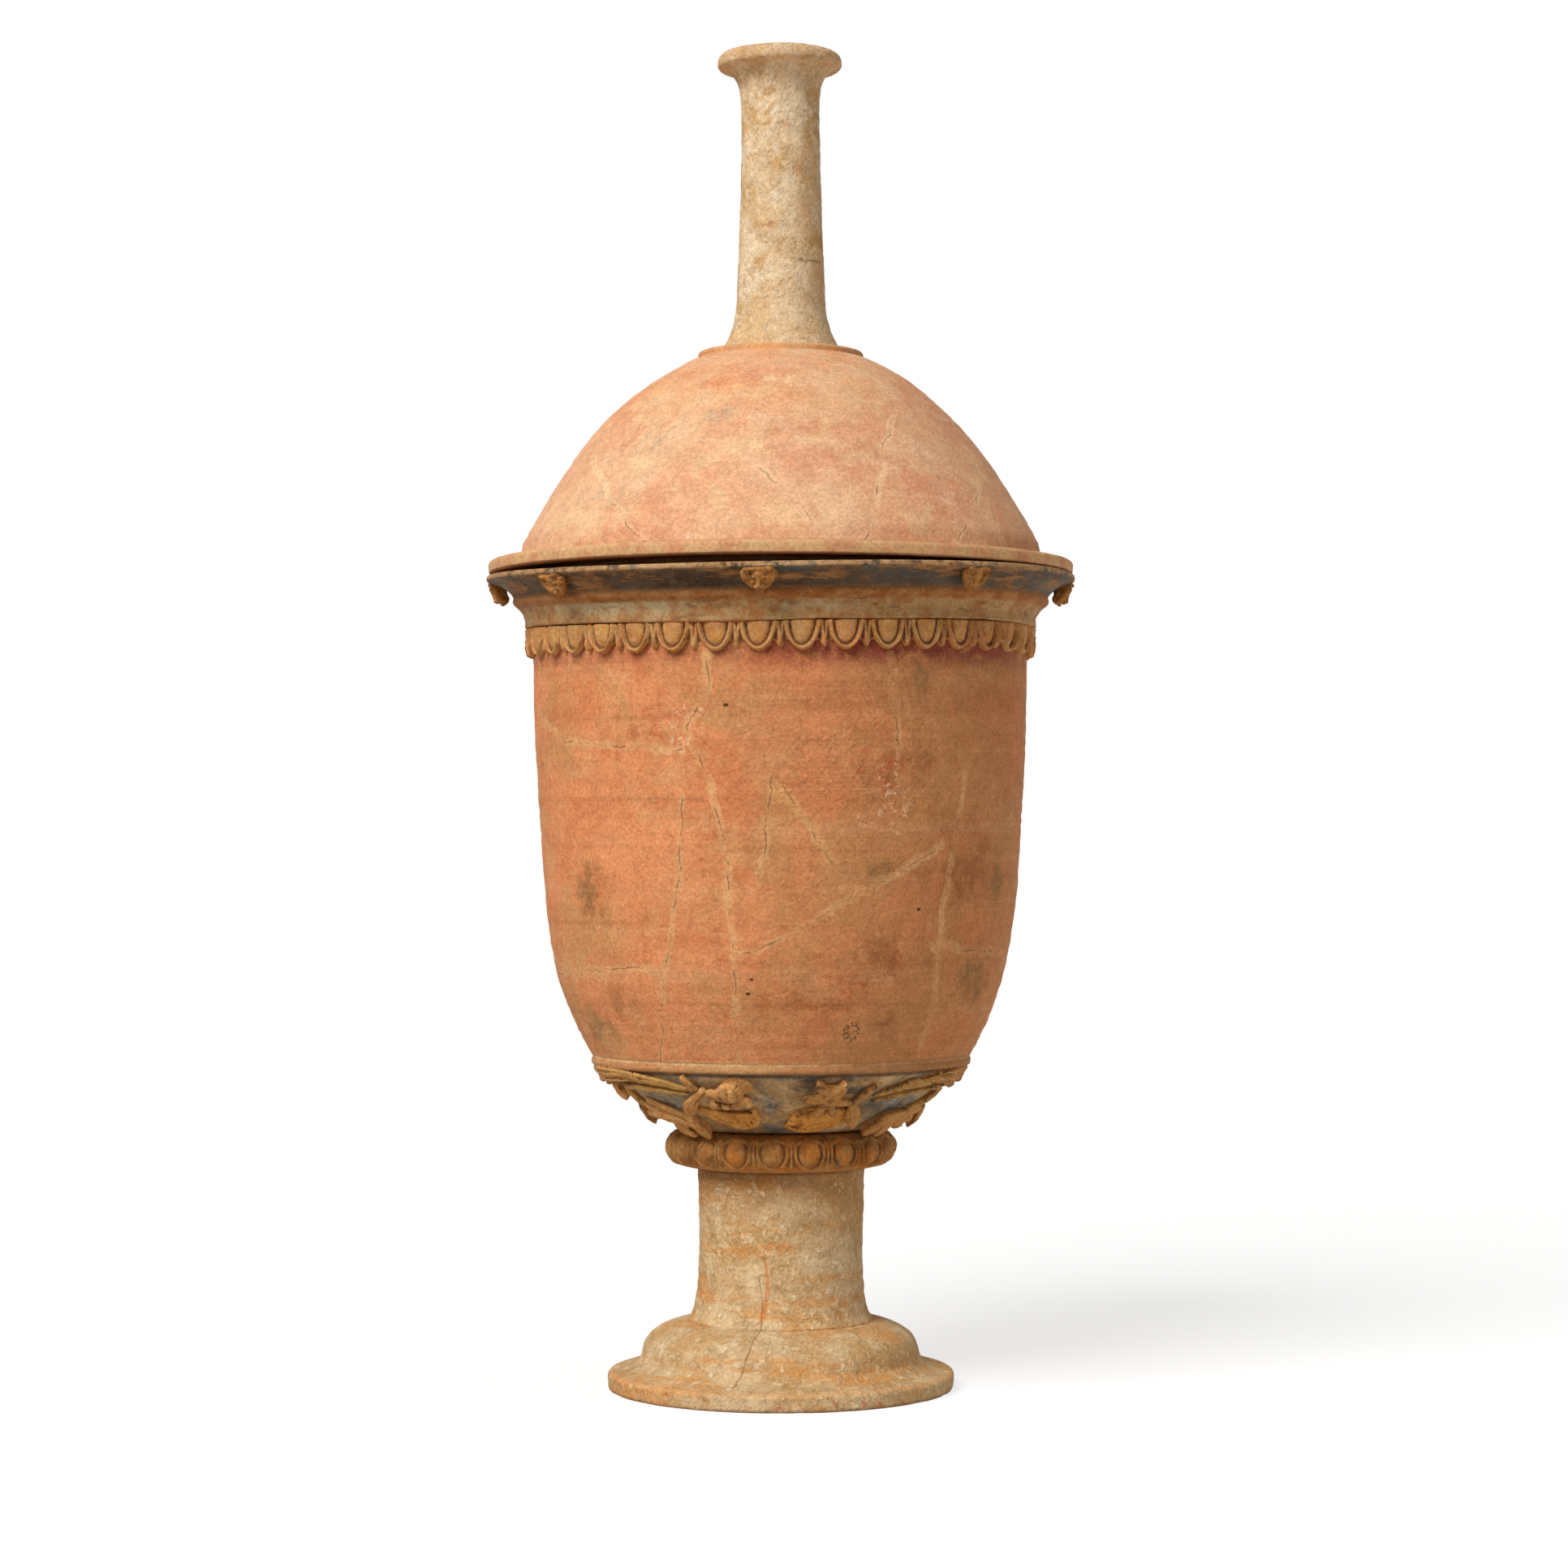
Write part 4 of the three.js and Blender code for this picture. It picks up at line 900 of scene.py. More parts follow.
def paint_foot():
    finish = Finish("foot_slip")
    soft, mix, both, patches, coat = finish.soft, finish.mix, finish.both, finish.patches, finish.coat
    colour = mix(patches(0.42, 0.58, 40, 8, 0.7), tone(212, 184, 144), tone(198, 160, 110))
    pale = patches(0.5, 0.62, 15, 6, 0.7, seed=1)
    colour = coat(colour, pale, 0.6, 226, 202, 160)
    olive = patches(0.52, 0.64, 17, 6, 0.7, 0.4, seed=2)
    colour = coat(colour, olive, 0.5, 166, 134, 86)
    streaks = patches(0.51, 0.6, 24, 9, 0.72, seed=3, stretch=(0.25, 1.8))
    colour = coat(colour, streaks, 0.7, 208, 150, 86)
    stains = finish.spots(
        (-14, 98, 26, 9, 0.5, 0.8), (18, 88, 26, 8, 0.5, 0.8), (-30, 105, 16, 8, 0.5, 0.8),
        (30, 72, 14, 5, 0.5, 0.7), (-48, 79, 12, 6, 0.5, 0.7), (160, 90, 50, 14, 0.5, 0.8),
    )
    stains = both(stains, soft(finish.ragged, 0.42, 0.6))
    colour = coat(colour, stains, 0.6, 142, 110, 68)
    # painted shade at the stem's top, under the egg ring and the bowl
    shade = soft(finish.height, STEM_TOP - 30, STEM_TOP - 2)
    colour = coat(colour, shade, 0.5, 170, 114, 56)
    orange = finish.spots(
        (-8, 22, 46, 3, 0.5, 0.7), (40, 47, 16, 6, 0.5, 0.8), (-2, 76, 22, 4, 0.5, 0.8),
        (30, 14, 14, 4, 0.5, 0.8), (-60, 48, 16, 6, 0.5, 0.8), (150, 24, 60, 4, 0.5, 0.8),
    )
    orange = both(orange, patches(0.44, 0.54, 10, 8, 0.75, seed=8, stretch=(0.3, 1.5)))
    colour = coat(colour, orange, 0.75, 212, 146, 80)
    drip = finish.lines((((-12, 76), (-9, 56), (-13, 40)), ((-10, 66), (-8, 54), (-12, 38))), 44.0)
    colour = coat(colour, soft(drip, 1.2, 0.4), 0.6, 204, 124, 60)
    white = patches(0.54, 0.66, 6, 5, 0.72, seed=4)
    colour = coat(colour, white, 0.5, 238, 220, 184)
    dark = patches(0.6, 0.7, 6, 5, 0.72, seed=5)
    colour = coat(colour, dark, 0.4, 132, 104, 68)
    red = both(soft(finish.height, 8.6, 6.6), patches(0.57, 0.64, 5, 4, 0.7, seed=6))
    colour = coat(colour, red, 0.6, 196, 92, 66)
    web = soft(finish.cells(15, 2, "DISTANCE_TO_EDGE"), 0.018, 0.0)
    web = both(web, patches(0.5, 0.6, 30, 3, 0.6, seed=7))
    colour = coat(colour, web, 0.4, 120, 92, 62)
    seam = finish.lines((((-15, 62), (-12, 44), (-13, 30), (-17, 12)),), 60.0)
    colour = coat(colour, soft(seam, 0.7, 0.1), 0.6, 130, 92, 58)
    edge = both(
        soft(finish.height, FOOT_EDGE_HEIGHT + 0.9, FOOT_EDGE_HEIGHT - 0.3),
        soft(finish.height, FOOT_EDGE_HEIGHT - 1.6, FOOT_EDGE_HEIGHT - 0.5),
    )
    colour = coat(colour, edge, 0.5, 226, 168, 110)
    # painted shade along the lowest edge, where the foot meets the floor
    ground = soft(finish.height, 2.4, 0.2)
    colour = coat(colour, ground, 0.6, 108, 76, 50)
    normal = clay_bump(finish, pits=0.5, coarse=0.55, streaks=0.12)
    crust = patches(0.46, 0.62, 6, 5, 0.7, seed=4)
    normal = finish.bump(crust, 0.3, normal)
    return finish.done(colour, finish.uneven(9, 0.2, 0.68), normal)


def paint_band():
    """Ochre on a moulded band: yellow rubbed into the eggs, crests paler from rubbing and painted
    highlight, painted shade in the grooves.
    """
    finish = Finish("egg_band_paint")
    soft, mix, both, patches, coat = finish.soft, finish.mix, finish.both, finish.patches, finish.coat
    proud = finish.proud()
    colour = mix(patches(0.4, 0.6, 18, 5, 0.65), tone(206, 158, 102), tone(194, 134, 84))
    salmon = patches(0.54, 0.64, 60, 4, 0.6, seed=1)
    colour = coat(colour, salmon, 0.5, 206, 134, 94)
    yellow = both(soft(proud, 0.35, 0.95), patches(0.46, 0.62, 5, 5, 0.7, seed=2))
    colour = coat(colour, yellow, 0.65, 206, 140, 44)
    # rubbing and painted highlight: paler on the crests
    pale = both(soft(proud, 0.55, 1.0), patches(0.5, 0.66, 8, 5, 0.7, seed=3))
    colour = coat(colour, pale, 0.4, 214, 176, 124)
    # painted shade: darker in the grooves and hollows
    hollow_shade = soft(proud, 0.42, 0.02)
    colour = coat(colour, hollow_shade, 0.8, 84, 52, 32)
    specks = patches(0.6, 0.7, 2.4, 4, 0.7, seed=4)
    colour = coat(colour, specks, 0.5, 92, 60, 38)
    normal = clay_bump(finish, pits=0.5, coarse=0.35, streaks=0.05)
    return finish.done(colour, finish.uneven(7, 0.22, 0.58), normal, 0.14)


def paint_ring():
    finish = Finish("egg_ring_paint")
    soft, mix, both, patches, coat = finish.soft, finish.mix, finish.both, finish.patches, finish.coat
    proud = finish.proud()
    colour = mix(patches(0.4, 0.6, 16, 5, 0.65), tone(184, 136, 80), tone(160, 112, 62))
    orange = both(soft(proud, 0.5, 0.95), patches(0.44, 0.58, 12, 5, 0.65, seed=1))
    front = soft(finish.degrees_from(12.0), 62.0, 30.0)
    front = finish.scaled(front, 0.6, 0.15)
    colour = coat(colour, orange, front, 198, 118, 40)
    brown = patches(0.5, 0.64, 10, 5, 0.65, seed=2)
    colour = coat(colour, brown, 0.5, 112, 72, 40)
    # rubbing and painted highlight: paler on the crests
    pale = both(soft(proud, 0.45, 0.9), patches(0.54, 0.66, 5, 5, 0.7, seed=3))
    colour = coat(colour, pale, 0.5, 200, 160, 106)
    gold = both(patches(0.66, 0.7, 1.6, 2, 0.6, seed=6), orange)
    colour = coat(colour, gold, 0.8, 234, 176, 52)
    # painted shade: darker in the hollows between eggs and frames
    hollow_shade = soft(proud, 0.4, 0.02)
    colour = coat(colour, hollow_shade, 0.65, 78, 50, 32)
    lower = soft(finish.height, RING_BASE + 3.1, RING_BASE + 0.9)
    colour = coat(colour, lower, 0.5, 196, 140, 84)
    normal = clay_bump(finish, pits=0.5, coarse=0.35, streaks=0.05)
    return finish.done(colour, finish.uneven(7, 0.22, 0.6), normal, 0.14)


def paint_relief(name, base, warm, pale_share, blue_share):
    """Ochre over a modelled lump: pale on its crests from rubbing and painted highlight, slate-blue in its
    hollows and darkened there with painted shade.
    """
    finish = Finish(name)
    soft, mix, both, patches, coat = finish.soft, finish.mix, finish.both, finish.patches, finish.coat
    proud = finish.proud()
    colour = mix(patches(0.42, 0.58, 8, 8, 0.72), base, warm)
    brown = patches(0.5, 0.6, 11, 8, 0.72, seed=5)
    colour = coat(colour, brown, 0.5, 160, 106, 58)
    # rubbing and painted highlight: paler on the crests
    pale = both(soft(proud, 0.45, 0.9), patches(0.44, 0.58, 5, 7, 0.75, seed=1))
    colour = coat(colour, pale, pale_share, 226, 182, 124)
    orange = patches(0.54, 0.62, 6, 7, 0.75, seed=2)
    colour = coat(colour, orange, 0.55, 192, 120, 46)
    blue = both(soft(proud, 0.55, 0.1), patches(0.5, 0.6, 7, 5, 0.7, seed=3))
    colour = coat(colour, blue, blue_share, 104, 106, 98)
    # painted shade: darker in the hollows
    hollow_shade = soft(proud, 0.34, 0.02)
    colour = coat(colour, hollow_shade, 0.75, 70, 46, 32)
    specks = patches(0.6, 0.7, 1.8, 4, 0.7, seed=4)
    colour = coat(colour, specks, 0.5, 96, 62, 38)
    normal = finish.bump(finish.grain(6, 6, 0.65), 0.5)
    normal = finish.bump(finish.grain(1.5, 6, 0.76), 0.24, normal)
    return finish.done(colour, finish.uneven(5, 0.2, 0.62), normal, 0.12)


# Thrown pieces
def make_foot(skin, bare):
    dome = bent((FOOT_DOME_RADIUS, 20), (0.05, 0.53), (0.4, 0.87), (49, FOOT_HEIGHT), 22)
    hollow = inside(dome, FOOT_WALL)
    plate = softened(
        [
            (FOOT_RADIUS - 21, 0.0), (FOOT_RADIUS - 0.5, 0.0), (FOOT_RADIUS, FOOT_EDGE_HEIGHT - 1.5),
            (FOOT_RADIUS - 1.5, FOOT_EDGE_HEIGHT), (FOOT_DOME_RADIUS + 6, 12),
            (FOOT_DOME_RADIUS + 1.2, 15.2), dome[0],
        ],
        1.2,
    )
    bore = [(FOOT_BORE, FOOT_HEIGHT), (FOOT_BORE, FOOT_HEIGHT - FOOT_WALL)]
    outline = plate + dome[1:] + bore + hollow[1:]
    clay = turned(spaced(outline, 3.0), THROWN_SIDES, closed=True)
    worked(
        clay, 0.5, 0.3, lambda radius, height: smoothstep(height, 0.2, 5) * smoothstep(35.2, height, 33),
        edges=((FOOT_RADIUS, 7.5, 3.6, 1.6), (FOOT_RADIUS, 1.0, 2.4, 1.2)), seed=1.0,
    )
    mark_hidden(clay, lambda outward, up, radius: outward < -0.15 or up < -0.6)
    finished("foot_thrown", clay, "vessel", (skin, bare), "foot")


def make_stem(skin, bare):
    flare = bent((48, STEM_BASE - 0.3), (0.73, 0.105), (1, 0.44), (42, 80.3), 24)
    outer = spaced(flare + [(42.3, 97), (43, STEM_TOP)], 2.2)
    inner = inside(outer, STEM_WALL)
    inner[0], inner[-1] = (inner[0][0], STEM_TOP), (inner[-1][0], STEM_BASE - 0.3)
    clay = turned(outer + inner, THROWN_SIDES, closed=True)
    worked(clay, 0.7, 0.35, lambda radius, height: smoothstep(height, 35, 42), seed=2.0)
    mark_hidden(clay, lambda outward, up, radius: outward < 0)
    finished("stem_thrown", clay, "vessel", (skin, bare), "stem")


def cone_outline(steps):
    return bent((50, CONE_BASE), (0.31, 0.15), (0.71, 0.574), (95, CONE_TOP), steps)


def make_bowl(skin, bare):
    cone = cone_outline(22)
    body = bent((97.4, BODY_BASE), (0.704, 0.185), (0.886, 0.299), (BODY_RADIUS, BODY_TOP), 60)
    ledge = [(96.4, CONE_TOP + 0.3), (97.6, CONE_TOP + 1.2), (97.9, CONE_TOP + 3.2), (97.3, CONE_TOP + 4.4)]
    ridge = COVE_RADIUS + 3.0
    cornice = softened(
        [
            (BODY_RADIUS, BODY_TOP), (BODY_RADIUS, CORNICE_BASE), (COVE_RADIUS, CORNICE_BASE),
            (COVE_RADIUS - 0.2, CORNICE_BASE + 3.4), (COVE_RADIUS + 0.6, CORNICE_BASE + 7),
            (ridge - 0.2, RIDGE_BASE - 0.2), (FLARE_RADIUS, RIDGE_BASE + 2.2),
            (FLARE_RADIUS + 0.3, RIDGE_BASE + 3.6), (FLARE_RADIUS - 0.3, FLARE_BASE),
            (FLARE_RADIUS + 0.9, FLARE_BASE + 2), (FLARE_RADIUS + 3, FLARE_BASE + 4.15),
            (FLARE_RADIUS + 7.5, FLARE_BASE + 6.8), (RIM_RADIUS - 1, LIP_BASE), (RIM_RADIUS, LIP_BASE + 1),
            (RIM_RADIUS - 0.4, RIM_TOP), (MOUTH_RADIUS, RIM_TOP), (MOUTH_RADIUS, FLARE_BASE),
        ],
        1.3, 4,
    )
    inner_body = inside(body, BOWL_WALL)
    inner_cone = inside(cone, BOWL_WALL)
    neck = [
        (0, NECK_FLOOR), (NECK_BORE, NECK_FLOOR), (NECK_BORE, RING_BASE), (NECK_RADIUS, RING_BASE),
        (NECK_RADIUS, CONE_BASE),
    ]
    outer = neck + cone + ledge + body + cornice[1:]
    outline = outer + inner_body[:-1] + inner_cone[:-1] + [(0, CONE_BASE + BOWL_WALL)]
    clay = turned(spaced(outline, 4.2), THROWN_SIDES)

    def calm(radius, height):
        return smoothstep(height, 410, 404) * smoothstep(height, 134, 146)

    worked(
        clay, 0.75, 0.4, calm,
        edges=((97.8, 168.5, 3.6, 2.2), (RIM_RADIUS, 416.6, 2.4, 1.4), (COVE_RADIUS, 391.5, 2.4, 1.0)),
        seed=3.0,
    )

    def hidden(outward, up, radius):
        return outward < -0.2 or radius < 48 or (up > 0.5 and radius < 92)

    mark_hidden(clay, hidden)
    finished("bowl_thrown", sagged(clay), "vessel", (skin, bare), "bowl")


def make_lid(skin, bare):
    dome = bent((LID_RADIUS - 2, LID_DOME_BASE + 9), (0.322, 0.579), (0.603, 0.837), (44, 530.5), 56)
    inner = inside(dome, LID_WALL)[::-1]
    crown = inner[-1][1] + 1
    rim = softened(
        [
            (124, LID_DOME_BASE), (124, LID_BASE - 9), (128, LID_BASE - 9), (129, LID_BASE),
            (FLANGE_RADIUS - 0.4, LID_BASE), (FLANGE_RADIUS, LID_DOME_BASE - 1.4),
            (FLANGE_RADIUS - 1.4, LID_DOME_BASE), (LID_RADIUS + 2.2, LID_DOME_BASE + 0.9),
            (LID_RADIUS + 0.4, LID_DOME_BASE + 0.2), (LID_RADIUS - 0.6, LID_DOME_BASE + 2.0), dome[0],
        ],
        1.2,
    )
    collar = softened(
        [dome[-1], (42.6, 530.8), (42.9, LID_TOP - 1.2), (42.0, LID_TOP), (30, LID_TOP), (0, LID_TOP)], 0.8,
    )
    outline = [(0, crown)] + inner[::-1] + rim + dome[1:] + collar[1:]
    clay = turned(spaced(outline, 3.6), THROWN_SIDES)

    def calm(radius, height):
        return smoothstep(height, LID_DOME_BASE, LID_DOME_BASE + 8) * smoothstep(height, 533, 528)

    worked(clay, 0.8, 0.35, calm, edges=((FLANGE_RADIUS, 424, 3.0, 1.6),), seed=4.0)
    mark_hidden(clay, lambda outward, up, radius: outward < -0.2 or (up < -0.5 and outward < 0.2))
    finished("lid_thrown", clay, "lid", (skin, bare), "lid")


def make_finial(skin, bare):
    neck = bent((31.5, FINIAL_BASE - 0.2), (0.6, 0.33), (0.89, 0.54), (23.1, 561.6), 20)
    neck += [(22.2, 582), (21.4, 601.6), (20.6, 630)]
    neck += bent((20.4, 661.6), (0.03, 0.51), (0.22, 0.865), (27.7, FINIAL_DISC_BASE - 0.5), 16)
    bore = inside(neck, FINIAL_WALL)
    bore[-1] = (bore[-1][0], FINIAL_BASE - 0.2)
    disc = softened(
        [
            neck[-1], (FINIAL_DISC_RADIUS - 1, FINIAL_DISC_BASE + 0.2),
            (FINIAL_DISC_RADIUS, FINIAL_DISC_BASE + 2),
            (FINIAL_DISC_RADIUS - 0.4, FINIAL_TOP - 2.6), (FINIAL_DISC_RADIUS - 3.5, FINIAL_TOP),
            (FINIAL_DISC_RADIUS - 9, FINIAL_TOP - 1), bore[0],
        ],
        1.8, 4,
    )
    outline = neck[:-1] + disc + bore[1:]
    clay = turned(spaced(outline, 1.9), FINIAL_SIDES, closed=True)
    worked(
        clay, 0.75, 0.3, lambda radius, height: smoothstep(height, 535, 541),
        edges=((FINIAL_DISC_RADIUS, 684, 3.4, 1.4), (FINIAL_DISC_RADIUS - 3, FINIAL_TOP - 0.5, 3.0, 1.0)),
        seed=5.0,
    )
    mark_hidden(clay, lambda outward, up, radius: outward < -0.3)
    finished("finial_thrown", clay, "lid", (skin, bare), "finial")


# Moulded rings: a strip spun round the vessel, whose face is then pressed into eggs, frames and darts
def hill(distance, width):
    return math.exp(-((distance / width) ** 2))


def band_relief(aside, down, wear, lean):
    """Relief in millimetres of the small eggs; aside from the egg's middle, down from the band's top."""
    half = math.pi * BAND_REACH / BAND_EGGS
    aside += lean * down
    swell = 1 - (aside / 5.9) ** 2 - (down / 11.8) ** 2
    egg = 0.4 + 3.0 * swell**0.42 if swell > 0 else 0.0
    frame_gap = abs(math.hypot(aside / 7.9, down / 13.8) - 1) * 7.9
    frame_ridge = 4.0 * hill(frame_gap, 1.0)
    gap = abs(half - abs(aside))
    spread = 1.3 * (1 - down / 15)
    dart = 3.0 * hill(gap - spread, 0.6) * smoothstep(down, 14.2, 12.6)
    return -0.4 + max(egg, frame_ridge, dart) * (1 - 0.4 * wear)


def band_foot(aside):
    """How far down the strip's scalloped lower edge lies at this place."""
    half = math.pi * BAND_REACH / BAND_EGGS
    inner = abs(aside) / 8.9
    arc = 14.9 * math.sqrt(max(1 - inner * inner, 0.0)) if inner < 1 else 0.0
    dart = 13.4 - 3.5 * smoothstep(abs(half - abs(aside)), 0.9, 2.6)
    return min(max(arc, dart, 9.5), BAND_HEIGHT)


def make_band(paint):
    inner_radius = BODY_RADIUS - 0.6
    rows = 28
    outer = [(BODY_RADIUS + 2.6, BAND_TOP - BAND_HEIGHT * i / (rows - 1)) for i in range(rows)]
    outline = outer + [(inner_radius, BAND_TOP - BAND_HEIGHT), (inner_radius, BAND_TOP)]
    clay = turned(outline, BAND_EGGS * 30, closed=True)
    pitch = math.tau / BAND_EGGS
    dice = random.Random(11)
    wear = [dice.uniform(0.0, 0.55) for _ in range(BAND_EGGS)]
    lean = [dice.uniform(-0.05, 0.05) for _ in range(BAND_EGGS)]
    for vert in clay.verts:
        azimuth, radius, height = cylinder_place(vert.co)
        egg = math.floor(azimuth / pitch)
        aside = (azimuth / pitch - egg - 0.5) * pitch * BAND_REACH
        foot = band_foot(aside)
        down = (BAND_TOP - height) / BAND_HEIGHT * foot
        on_face = radius > BODY_RADIUS
        index = egg % BAND_EGGS
        out = band_relief(aside, down, wear[index], lean[index]) if on_face else 0.0
        out -= 0.9 * smoothstep(down, 9, 15) + 1.6 * smoothstep(down, foot - 1.0, foot)
        out += 0.25 * noise.noise(vert.co * 0.35) + 0.2 * noise.noise(vert.co * 0.9)
        new_radius = max(BODY_RADIUS + 0.4, BODY_RADIUS + 1.6 + out) if on_face else inner_radius
        vert.co.x *= new_radius / radius
        vert.co.y *= new_radius / radius
        vert.co.z = BAND_TOP - down
    smoothed(clay, 0.25)
    bmesh.ops.recalc_face_normals(clay, faces=clay.faces)
    sagged(clay)
    finished("egg_band_moulded", clay, "vessel", (paint,), "egg_band", crests=(14, 0.5))


def ring_relief(aside, down, wear):
    """Relief in millimetres of the large eggs on the half-round ring."""
    half = math.pi * RING_RADIUS / RING_EGGS
    swell = 1 - (aside / 5.8) ** 2 - ((down - 9.6) / 7.2) ** 2
    egg = 3.5 * swell**0.45 if swell > 0 else 0.0
    inward = 7.5 + 1.2 * smoothstep(down, 6.0, 2.4)
    below = max(down - 9.5, 0.0) / 8.4
    frame_gap = abs(math.hypot(abs(aside) / inward, below) - 1) * 7.5
    frame_ridge = 2.9 * hill(frame_gap, 0.75) * smoothstep(down, 1.6, 3.2)
    arch = 2.2 * hill(down - 2.4 - 0.05 * aside * aside, 0.9) * smoothstep(abs(aside), 8.6, 6.8)
    dart = 2.2 * hill(half - abs(aside), 0.7) * smoothstep(down, 2.5, 5.0) * smoothstep(down, 18.5, 16)
    return max(egg, frame_ridge, arch, dart) * (1 - 0.4 * wear) - 1.0


def make_ring(paint):
    height_of_ring = RING_TOP - RING_BASE
    rows = 30
    outer = []
    for i in range(rows):
        share = i / (rows - 1)
        swell = (RING_RADIUS - RING_EDGE_RADIUS) * math.sqrt(max(0.0, 1 - (2 * share - 1) ** 2))
        outer.append((RING_EDGE_RADIUS + swell, RING_TOP - share * height_of_ring))
    outline = outer + [(RING_BORE, RING_BASE), (RING_BORE, RING_TOP)]
    clay = turned(outline, RING_EGGS * 40, closed=True)
    pitch = math.tau / RING_EGGS
    turn = math.radians(RING_TURN)
    dice = random.Random(23)
    wear = [dice.uniform(0.0, 0.6) for _ in range(RING_EGGS)]
    for vert in clay.verts:
        azimuth, radius, height = cylinder_place(vert.co)
        if radius < RING_EDGE_RADIUS - 1:
            continue
        egg = math.floor((azimuth - turn) / pitch + 0.5)
        aside = ((azimuth - turn) / pitch - egg) * pitch * RING_RADIUS
        down = RING_TOP - height
        edge_calm = smoothstep(down, 0.2, 1.8) * smoothstep(down, height_of_ring, height_of_ring - 1.5)
        out = ring_relief(aside, down, wear[egg % RING_EGGS]) * edge_calm
        out += (0.35 * noise.noise(vert.co * 0.2) + 0.22 * noise.noise(vert.co * 0.7)) * edge_calm
        vert.co.x *= (radius + out) / radius
        vert.co.y *= (radius + out) / radius
    smoothed(clay, 0.25)
    finished(
        "egg_ring_moulded", clay, "vessel", (paint,), "stem_egg_ring", crests=(14, 0.5),
    )


# Modelling by hand, on a board: x across, y along and z out of the surface, in millimetres
def pinch(clay, at, size, turn=0.0, lean=0.0):
    """A small lump of clay with the given half sizes, turned on the board and leaned back, in degrees."""
    matrix = Matrix.Translation(at) @ Matrix.Rotation(math.radians(turn), 4, "Z")
    matrix = matrix @ Matrix.Rotation(math.radians(lean), 4, "X") @ Matrix.Diagonal((*size, 1))
    bmesh.ops.create_icosphere(clay, subdivisions=2, radius=1, matrix=matrix)


def smooth_path(points, steps=8):
    """Points of a smooth curve through all the given ones, whatever each holds after its place."""
    path = [points[0]] + list(points) + [points[-1]]
    result = []
    for a, b, c, d in zip(path, path[1:], path[2:], path[3:]):
        for i in range(steps):
            t = i / steps
            result.append(tuple(
                0.5 * (
                    2 * q + (r - p) * t + (2 * p - 5 * q + 4 * r - s) * t * t
                    + (3 * q - p - 3 * r + s) * t ** 3
                )
                for p, q, r, s in zip(a, b, c, d)
            ))
    return result + [tuple(points[-1])]


def roll(clay, points):
    """A rolled string of clay through points (x, y, z, radius)."""
    last = None
    for x, y, z, radius in smooth_path(points):
        at = Vector((x, y, z))
        if last is None or (at - last).length > radius * 0.35:
            pinch(clay, at, (radius, radius, radius))
            last = at


def fused(clay, voxel, smoothing):
    """The lumps pressed into one: remeshed, with the finger marks smoothed."""
    mesh = mesh_of("lump", clay)
    lump = put("lump", mesh)
    remesh = lump.modifiers.new("one lump", "REMESH")
    remesh.mode = "VOXEL"
    remesh.voxel_size = voxel
    lump_now = lump.evaluated_get(bpy.context.evaluated_depsgraph_get())
    result = bmesh.new()
    result.from_mesh(lump_now.to_mesh())
    bpy.data.objects.remove(lump)
    bpy.data.meshes.remove(mesh)
    for _ in range(smoothing):
        smoothed(result, 0.5)
    return result


def scooped(clay, at, size, turn, depth, floor=0.4):
    """A thumb pressed into the top: a soft hollow of the given half sizes."""
    angle = math.radians(turn)
    for vert in clay.verts:
        dx, dy = vert.co.x - at[0], vert.co.y - at[1]
        across = dx * math.cos(angle) + dy * math.sin(angle)
        along = dy * math.cos(angle) - dx * math.sin(angle)
        away = (across / size[0]) ** 2 + (along / size[1]) ** 2
        if away < 1 and vert.co.z > floor:
            vert.co.z = max(vert.co.z - depth * (1 - away) ** 1.5, floor)


def creased(clay, points, width, depth, floor=0.2):
    """A tool drawn through the clay along a path; a negative depth raises a ridge instead."""
    clay.normal_update()
    path = np.array([point[:2] for point in smooth_path(points, 5)])
    along = np.diff(path, axis=0)
    lengths = np.maximum((along**2).sum(axis=-1), 1e-9)
    places = np.array([vert.co.to_tuple() for vert in clay.verts])
    reach = places[:, None, :2] - path[None, :-1]
    share = np.clip((reach * along).sum(axis=-1) / lengths, 0, 1)
    away = np.linalg.norm(reach - along * share[..., None], axis=-1).min(axis=1)
    pushes = depth * np.exp(-((away / width) ** 2)) * (places[:, 2] > floor)
    for vert, push in zip(clay.verts, pushes):
        vert.co -= vert.normal * float(push)


def weathered(clay, rough, seed):
    """Worn skin: uneven crests and small losses."""
    clay.normal_update()
    shift = Vector((seed, seed * 2.7, -seed))
    for vert in clay.verts:
        bumps = noise.noise(vert.co * 0.28 + shift) + noise.noise(vert.co * 0.8 + shift) * 0.45
        bumps = (bumps + noise.noise(vert.co * 1.7 + shift) * 0.25) * rough
        vert.co += vert.normal * bumps


def cut_off(clay, height, way):
    """Cuts clay away above a level plane (way 1) or below it (-1), and closes the cut flat."""
    bmesh.ops.bisect_plane(
        clay, geom=list(clay.verts) + list(clay.edges) + list(clay.faces), dist=1e-4,
        plane_co=(0, 0, height), plane_no=(0, 0, way), clear_outer=True,
    )
    bmesh.ops.holes_fill(clay, edges=[edge for edge in clay.edges if edge.is_boundary], sides=0)
    bmesh.ops.triangulate(clay, faces=[face for face in clay.faces if len(face.verts) > 4])


def laid(clay, place, back):
    """Cut flat behind and set on the vessel: place(x, y, z) gives where each point goes."""
    cut_off(clay, back, -1)
    for vert in clay.verts:
        vert.co = place(*vert.co)
    bmesh.ops.recalc_face_normals(clay, faces=clay.faces)


